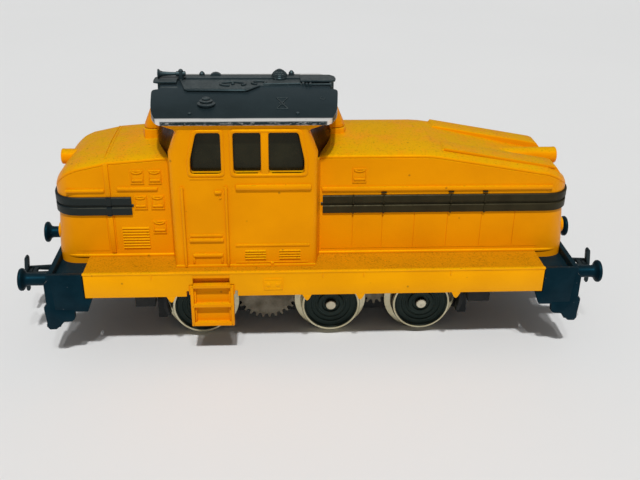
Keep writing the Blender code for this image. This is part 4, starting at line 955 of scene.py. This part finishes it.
def build_deck():
    inner, outer = DECK_HALF_Y - 0.2, DECK_HALF_Y + 0.16
    end_x = DECK_HALF_X + 0.1
    rows = [(-end_x, end_x, DECK_HALF_Y - 0.5, DECK_HALF_Y + 0.12, 17.85, 18.25, 0.1),
            (-9.5, -6.3, inner, DECK_HALF_Y + 0.07, 14.6, 16.75, 0.05)]
    rows += [(-9.6, -6.2, inner, outer, z, z + 0.22, 0.07) for z in (14.55, 16.55)]
    rows += [(x, x + 0.2, inner, outer, 14.6, 16.7, 0.07) for x in (-9.6, -6.4)]
    tab = [(-0.95, 13.5), (0.95, 13.5), (0.7, 13.0), (0.35, 12.3), (0.0, 12.05), (-0.35, 12.3),
           (-0.7, 13.0)]
    pieces = side_bars(rows)
    for side in (-1, 1):
        y0, y1 = side_y(side, DECK_HALF_Y - 1.2, DECK_HALF_Y)
        pieces.append(rounded(prism("y", skirt_outline(), y0, y1), 0.1))
        pieces.append(box(-23.6, -14.1, *side_y(side, 14.95, 15.7), 14.0, 17.4))
        for x in (-26.2, -1.8, 7.9, 25.5):
            outline = [(x + dx, z) for dx, z in tab]
            pieces.append(rounded(prism("y", outline, *side_y(side, 16.1, 16.95)), 0.08))
        for x in (-8.75, -7.1):
            rivet = flipped([(16.9, 0.4), (17.14, 0.38), (17.2, 0.22)], side)
            pieces.append(turned("y", (x, 0, 15.55), rivet, 14))
        for x in (-29.5, 1.0, 8.4, 24.2):
            pin = [(x, side * 17.0, 17.85), (x, side * 17.05, 17.4), (x, side * 17.0, 16.95)]
            pieces.append(rod(pin, 0.12, 8))
    for sign in (-1, 1):
        x0, x1 = sorted((sign * (DECK_HALF_X - 1.2), sign * DECK_HALF_X))
        pieces.append(bar(x0, x1, -16.9, 16.9, 13.3, 18.0, 0.1))
    publish(joined(pieces), "skirt_and_trim", "orange_skirt_painted_light")

    corners = [(-DECK_HALF_X, -16.9), (DECK_HALF_X, -16.9), (DECK_HALF_X, 16.9),
               (-DECK_HALF_X, 16.9)]
    deck = loft([[(x, y, z) for x, y in corners] for z in (17.0, DECK_TOP_Z)])
    dots = [turned("z", (x, side * 13.2, 0), [(18.0, 0.22), (18.2, 0.2), (18.26, 0.1)], 10)
            for x in (-35.0, 5.4, 12.6, 19.0, 33.0) for side in (-1, 1)]
    publish(joined([deck] + dots), "running_board", "orange_deck")


def build_ladders():
    rows = [(x, x + 0.6, 15.72, 17.33, 7.2, 15.6, 0.14) for x in (-22.75, -15.6)]
    for z0, z1 in ((7.2, 7.78), (11.12, 11.68), (15.08, 15.6)):
        rows += [(-22.5, -15.25, 15.72, 17.33, z0, z1, 0.14),
                 (-22.2, -15.55, 17.0, 17.33, z1 - 0.1, z1 + 0.16, 0.08)]
    rows += [(x, x + 0.35, 16.1, 16.7, 7.7, 15.2, 0.1) for x in (-22.15, -15.95)]
    rows += [(x, x + 0.3, 16.1, 16.9, 13.6, 15.6, 0.08) for x in (-23.0, -15.05)]
    for side, label in ((-1, "near"), (1, "far")):
        back = box(-22.6, -15.15, *side_y(side, 15.72, 16.15), 7.3, 15.5)
        stand_in(joined([back] + side_bars(rows, (side,))), "ladder_" + label, "orange")


# ---- ends ------------------------------------------------------------------
def flipped(profile, sign):
    """Profile or outline with its first coordinate turned to one end or side."""
    return [(sign * a, b) for a, b in profile]


def plate(sign, outline, y0, y1, radius=0.12):
    """Rounded upright plate at one end of the locomotive."""
    return rounded(prism("y", flipped(outline, sign), y0, y1), radius)


def build_end(sign):
    """Black buffer beam: sunk platform with a rim, side plates and corner steps."""
    side_plate = [(40.2, 13.1), (41.2, 10.5), (47.7, 10.5), (47.7, 18.0), (41.55, 18.0),
                  (41.55, 13.1)]
    corner = [(43.5, 10.9), (43.7, 9.0), (44.2, 8.5), (45.7, 8.4), (46.3, 7.7), (47.2, 6.9),
              (48.4, 6.85), (48.72, 7.3), (48.95, 11.2), (48.9, 11.6), (48.45, 11.9),
              (48.4, 16.2), (47.2, 17.2), (46.9, 11.0)]
    collar = [(47.4, 1.9), (48.1, 1.85), (48.3, 1.6), (48.35, 1.3)]
    rows = [(46.5, 47.6, 12.9, 16.6, 7.1, 11.2, 0.12), (47.4, 48.3, 12.7, 13.2, 7.2, 15.4, 0.12),
            (45.5, 46.0, 13.3, 13.8, 16.2, 16.75, 0.1)]
    for z, out in ((7.05, 48.85), (9.6, 48.85), (12.15, 48.4), (14.8, 48.4)):
        rows += [(46.6, out, 12.9, 16.5, z, z + 0.5, 0.12),
                 (out - 0.35, out + 0.12, 12.9, 16.7, z + 0.1, z + 0.75, 0.12)]
    pieces = side_bars(rows, sign=sign)
    for side in (-1, 1):
        pieces.append(plate(sign, side_plate, *side_y(side, 16.1, 17.0)))
        pieces.append(plate(sign, corner, *side_y(side, 16.0, 17.05), 0.14))
        pieces.append(turned("x", (0, side * BUFFER_Y, BUFFER_Z), flipped(collar, sign), 32))
    across = [(46.85, 47.78, 16.4, 10.4, 18.0, 0.12), (41.25, 47.2, 16.4, 15.4, 16.72, 0.08),
              (47.5, 50.4, 2.6, 8.9, 10.1, 0.2)]
    for x0, x1, half, z0, z1, radius in across:
        pieces.append(bar(*sorted((sign * x0, sign * x1)), -half, half, z0, z1, radius))
    return pieces


def build_ends():
    for sign, label in ((1, "long"), (-1, "short")):
        publish(joined(build_end(sign)), "end_beam_" + label, "black",
            replaces=("buffer_beam_" + label,))
        for side, name in ((-1, "near"), (1, "far")):
            profile = [(46.8, 1.0), (47.8, 1.0), (47.85, 1.42), (49.6, 1.4), (49.75, 1.18),
                (53.0, 1.16), (53.4, 1.24), (53.7, 1.5), (53.92, 1.95), (54.08, 2.1), (54.4, 2.12),
                (54.6, 2.0), (54.76, 1.3), (54.82, 0.3)]
            place = (0, side * BUFFER_Y, BUFFER_Z)
            buffer = turned("x", place, flipped(profile, sign), 40)
            stand_in(buffer, "buffer_" + label + "_" + name, "black", smooth=40.0)
        build_coupling(sign, label)


def build_coupling(sign, label):
    plan = [(44.0, -1.5), (44.0, 1.5), (50.2, 0.85), (56.8, 0.85), (56.8, -0.85), (50.2, -0.85)]
    arm = rounded(prism("z", flipped(plan, sign), 8.35, 9.25), 0.12)
    eye = turned_ring("z", (sign * COUPLER_PIVOT_X, 0, 0), [(8.35, 1.12), (8.35, 2.15), (9.8, 2.15),
        (9.8, 1.12)], 32)
    hook = [(56.1, 8.6), (56.82, 8.6), (56.82, 10.0), (56.5, 12.7), (56.4, 13.05), (56.15, 13.2),
        (55.95, 13.15), (55.8, 12.9), (55.75, 12.6), (56.0, 10.1)]
    lug = [(50.8, 8.9), (52.2, 8.9), (52.05, 10.0), (51.75, 10.35), (51.25, 10.35), (50.95, 10.0)]
    bolt = turned("y", (sign * BOW_PIVOT_X, 0, BOW_PIVOT_Z), [(-1.9, 0.2), (-1.82, 0.36),
        (1.82, 0.36), (1.9, 0.2)], 16)
    ridge = [(50.4, 9.0), (56.5, 9.0), (56.5, 9.35), (55.4, 9.4), (50.4, 9.4)]
    pieces = [arm, eye, plate(sign, hook, -0.6, 0.6, 0.15), plate(sign, lug, -0.8, 0.8), bolt,
        plate(sign, ridge, -0.7, 0.7, 0.08), bar(*sorted((sign * 55.35, sign * 56.5)), -0.6, 0.6,
        9.2, 10.1, 0.1)]
    stand_in(joined(pieces), "coupler_" + label, "coupler", "coupler_" + label + "_arm")
    parts = []
    for side in (-1, 1):
        y0, y1 = side_y(side, 1.02, 1.63)
        outline = [(50.75, 9.45), (51.1, 9.3), (55.0, 9.5), (55.75, 8.9), (55.9, 6.6), (56.1, 6.2),
            (56.5, 6.2), (56.65, 6.6), (56.6, 9.6), (56.5, 10.1), (56.2, 10.2), (52.0, 10.4),
            (51.1, 10.4), (50.75, 10.1)]
        parts.append(plate(sign, outline, y0, y1, 0.1))
    parts.append(bar(*sorted((sign * 54.4, sign * 55.2)), -1.35, 1.35, 9.5, 10.15, 0.14))
    stand_in(joined(parts), "coupler_bow_" + label, "coupler", "coupler_" + label + "_bow")


# ---- wheels ----------------------------------------------------------------
def build_wheels():
    for name, x in AXLE_X.items():
        centre = (x, 0, AXLE_Z)
        body = "wheelset_" + name
        for side, label in ((-1, "near"), (1, "far")):
            tread = [(8.0, 5.72), (9.0, 5.66), (9.95, 5.6), (10.12, 5.5)]
            if name == "front":
                tread = [(8.0, 5.72), (8.28, 5.66), (8.28, 5.3), (9.6, 5.3), (9.6, 5.56),
                    (9.95, 5.55), (10.12, 5.45)]
            profile = [(10.15, 5.4), (10.15, 5.14), (10.0, 5.08), (7.0, 5.08), (7.0, 6.6),
                (7.05, 6.8), (7.2, 6.92), (7.35, 6.94), (7.5, 6.88), (7.68, 6.5), (7.8, 6.0),
                (7.88, 5.8)] + tread
            tyre = turned_ring("y", centre, flipped(profile, side), 72)
            stand_in(tyre, "tyre_" + name + "_" + label, "tyre", body, 25.0)
            disc = [(10.0, 5.06), (10.05, 4.95), (9.95, 4.82), (9.72, 4.7), (9.66, 4.5),
                (9.7, 4.25), (9.78, 4.1), (9.78, 3.85), (9.58, 3.7), (9.54, 3.4), (9.64, 3.25),
                (9.64, 3.0), (9.5, 2.85), (9.5, 2.55), (9.78, 2.4), (9.84, 2.15), (9.84, 1.75),
                (9.6, 1.6), (9.58, 1.1), (7.1, 1.1), (7.1, 5.06)]
            hub = turned_ring("y", centre, flipped(disc, side), 56)
            stand_in(hub, "wheel_centre_" + name + "_" + label, "wheel", body, 25.0)
            axle_end = [(9.3, 0.94), (10.25, 0.94), (10.34, 0.86), (10.36, 0.5), (10.34, 0.3),
                (10.32, 0.05)]
            stub = turned("y", centre, flipped(axle_end, side), 32)
            publish(stub, "axle_end_" + name + "_" + label, "hub", body)
            if name == "front":
                band = [(8.34, 5.32), (9.54, 5.32), (9.54, 5.64), (9.3, 5.7), (8.6, 5.72),
                    (8.34, 5.66)]
                band = turned_ring("y", centre, flipped(band, side), 72)
                stand_in(band, "traction_tyre_" + label, "rubber", body, 25.0)


def build_underframe():
    """Brake shoes by the outer wheels, on the near and far side."""
    pieces = []
    for side in (-1, 1):
        for x, sign in ((-28.0, -1), (28.0, 1)):
            y0, y1 = side_y(side, 8.0, 9.7)
            shoe = [(x - sign * 0.2, 9.6), (x + sign * 0.7, 9.4), (x + sign * 0.75, 6.4),
                (x + sign * 0.2, 5.0), (x - sign * 0.5, 4.9), (x + sign * 0.05, 7.0)]
            pieces.append(rounded(prism("y", shoe, y0, y1), 0.12))
    publish(joined(pieces), "brake_shoes", "casting")


# ---- carried-over pieces ---------------------------------------------------
def dress_cad_nodes():
    dress = {
        "chassis_frame": "casting", "ballast_weight": "casting", "motor_block": "casting",
        "keeper_plate": "casting", "brush_plate": "board", "reversing_unit": "board",
        "coupler_pin_long": "screw", "coupler_pin_short": "screw", "pickup_shoe": "screw",
        "keeper_screw_rear": "screw", "keeper_screw_front": "screw",
        "axle_rear": "gear", "axle_mid": "gear", "axle_front": "gear",
        "gear_idler_a": "gear", "gear_idler_b": "gear", "gear_transfer": "gear",
        "armature": "copper",
    }
    for name, look in dress.items():
        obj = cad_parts[name]
        obj.data.materials.clear()
        obj.data.materials.append(LOOKS[look])


def make_materials():
    return {
        "orange": moulded_orange("orange_plastic"),
        "orange_deck": moulded_orange("orange_plastic_deck", 1.06, dusty=True),
        # Painted light: the skirt gets a brighter, yellower copy of the orange for the extra light
        # it catches near the floor, and painted highlights on its rounded edges.
        "orange_skirt_painted_light": moulded_orange("orange_plastic_skirt_painted_light", 1.09, 1.14, edges=True),
        "roof": roof_paint("roof_paint"),
        "roof_trim": dark_plastic("roof_trim", (0.012, 0.021, 0.025), (0.026, 0.038, 0.043),
                                  (0.28, 0.42), (0.14, 0.15, 0.145), 0.5, 0.36,
                                  (0.55, 0.92, 1.0)),
        "black": dark_plastic("black_plastic", (0.002, 0.009, 0.014), (0.004, 0.015, 0.022),
                              (0.38, 0.54), (0.02, 0.035, 0.04), 0.2, 0.2, (0.05, 0.55, 0.9)),
        "coupler": dark_plastic("coupler_black", (0.006, 0.010, 0.012), (0.012, 0.018, 0.020),
                                gloss=0.35, tint=(0.6, 0.9, 1.0)),
        "wheel": dark_plastic("wheel_plastic", (0.005, 0.008, 0.006), (0.011, 0.016, 0.013),
                              (0.40, 0.55), (0.03, 0.03, 0.025), 0.2, 0.3, (0.7, 1.0, 0.9)),
        "stripe": stripe_print("stripe_print"),
        "glazing": glazing_material("window_glazing"),
        # Painted shade: the end panes are coloured dark red-brown like the shaded orange inside of
        # the cab, with almost no gloss.
        "painted_shade_pane": glazing_material("end_window_painted_shade", (0.030, 0.005, 0.001),
                                     (0.045, 0.009, 0.002), (0.05, 0.012, 0.002), 0.02,
                                     (1.0, 0.45, 0.05)),
        "lens": lens_material("lamp_lens"),
        "tyre": turned_metal("tyre_metal", (0.46, 0.41, 0.26), (0.62, 0.57, 0.40)),
        "hub": turned_metal("hub_metal", (0.56, 0.51, 0.38), (0.74, 0.69, 0.54), (0.4, 0.55)),
        "gear": turned_metal("gear_metal", (0.10, 0.086, 0.062), (0.21, 0.185, 0.14),
                             (0.42, 0.6), 2.5),
        "screw": turned_metal("screw_metal", (0.45, 0.43, 0.38), (0.62, 0.60, 0.54)),
        "copper": turned_metal("armature_metal", (0.36, 0.15, 0.06), (0.52, 0.25, 0.11)),
        "casting": dark_plastic("frame_casting", (0.007, 0.010, 0.011), (0.016, 0.017, 0.016),
                                (0.5, 0.7), (0.05, 0.045, 0.038), 0.4, 0.3, (1.0, 1.0, 1.0)),
        "board": dark_plastic("insulating_board", (0.080, 0.036, 0.016), (0.12, 0.055, 0.026),
                              (0.45, 0.6), (0.20, 0.16, 0.12), 0.2, 0.4, (1.0, 1.0, 1.0)),
        "rubber": rubber_material("traction_rubber"),
        "floor": floor_material("pale_floor"),
    }


# ---- set -------------------------------------------------------------------
def build_floor(material):
    size = 2500.0
    bm = bmesh.new()
    corners = [bm.verts.new((x * size * MM, y * size * MM, -0.00005)) for x, y in ((-1, -1),
        (1, -1), (1, 1), (-1, 1))]
    bm.faces.new(corners)
    floor = new_object(bm, "studio_floor")
    floor.name = "studio_floor"
    floor.data.materials.append(material)


def add_sun(name, azimuth, elevation, strength, angle):
    """Sun lamp that shines from an azimuth (0 = from the viewer, + = from the right)."""
    data = bpy.data.lights.new(name, "SUN")
    data.energy = strength
    data.angle = math.radians(angle)
    lamp = bpy.data.objects.new(name, data)
    bpy.context.scene.collection.objects.link(lamp)
    a, e = math.radians(azimuth), math.radians(elevation)
    towards = Vector((math.sin(a) * math.cos(e), -math.cos(a) * math.cos(e), math.sin(e)))
    lamp.rotation_euler = towards.to_track_quat("Z", "Y").to_euler()
    return lamp


def build_light():
    world = bpy.data.worlds.new("studio")
    world.use_nodes = True
    tree = world.node_tree
    background = tree.nodes["Background"]
    direction = tree.nodes.new("ShaderNodeTexCoord")
    split = tree.nodes.new("ShaderNodeSeparateXYZ")
    tree.links.new(direction.outputs["Generated"], split.inputs[0])
    ramp = tree.nodes.new("ShaderNodeMapRange")
    ramp.interpolation_type = "SMOOTHSTEP"
    tree.links.new(split.outputs["Z"], ramp.inputs["Value"])
    for key, value in (("From Min", 0.05), ("From Max", 0.9), ("To Min", 0.42), ("To Max", 0.62)):
        ramp.inputs[key].default_value = value
    colour = tree.nodes.new("ShaderNodeMix")
    colour.data_type = "RGBA"
    tree.links.new(ramp.outputs["Result"], colour.inputs["Factor"])
    colour.inputs[6].default_value = (0.0, 0.0, 0.0, 1.0)
    colour.inputs[7].default_value = (1.0, 1.0, 1.0, 1.0)
    tree.links.new(colour.outputs[2], background.inputs["Color"])
    background.inputs["Strength"].default_value = 0.40
    bpy.context.scene.world = world
    add_sun("key_left", -12.0, 58.0, 0.36, 2.5)
    add_sun("key_middle", 0.0, 59.0, 2.00, 2.5)
    add_sun("key_right", 12.0, 58.0, 0.36, 2.5)
    view = bpy.context.scene.view_settings
    view.view_transform = "Standard"
    view.look = "None"
    view.exposure = 0.0


# fitted camera: 27 degrees down, 3.5 degrees to the right, in millimetres
CAMERA_LENS = 45.997
CAMERA_PLACE = (-7.540, -144.787, 88.462)
CAMERA_FORWARD = (0.05532, 0.89252, -0.44759)
CAMERA_RIGHT = (0.99839, -0.05507, 0.01359)


def build_camera():
    data = bpy.data.cameras.new("camera")
    data.sensor_width = 36.0
    data.lens = CAMERA_LENS
    data.clip_start = 0.01
    camera = bpy.data.objects.new("camera", data)
    bpy.context.scene.collection.objects.link(camera)
    right = Vector(CAMERA_RIGHT).normalized()
    forward = Vector(CAMERA_FORWARD).normalized()
    up = right.cross(forward).normalized()
    right = forward.cross(up).normalized()
    turn = Matrix((right, up, -forward)).transposed().to_4x4()
    place = Matrix.Translation(Vector(CAMERA_PLACE) * MM)
    camera.matrix_world = place @ turn
    bpy.context.scene.camera = camera


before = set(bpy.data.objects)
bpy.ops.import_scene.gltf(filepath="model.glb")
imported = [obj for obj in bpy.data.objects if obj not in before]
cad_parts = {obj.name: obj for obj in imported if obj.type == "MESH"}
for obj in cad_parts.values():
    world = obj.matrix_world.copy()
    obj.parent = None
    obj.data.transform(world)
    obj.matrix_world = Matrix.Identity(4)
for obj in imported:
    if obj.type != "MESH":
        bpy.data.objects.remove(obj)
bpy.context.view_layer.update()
LOOKS = make_materials()
build_hoods()
build_cab()
build_roof_skin()
build_roof_fittings()
build_roof_turnings()
build_deck()
build_ladders()
build_ends()
build_wheels()
build_underframe()
dress_cad_nodes()
build_floor(LOOKS["floor"])
build_light()
build_camera()
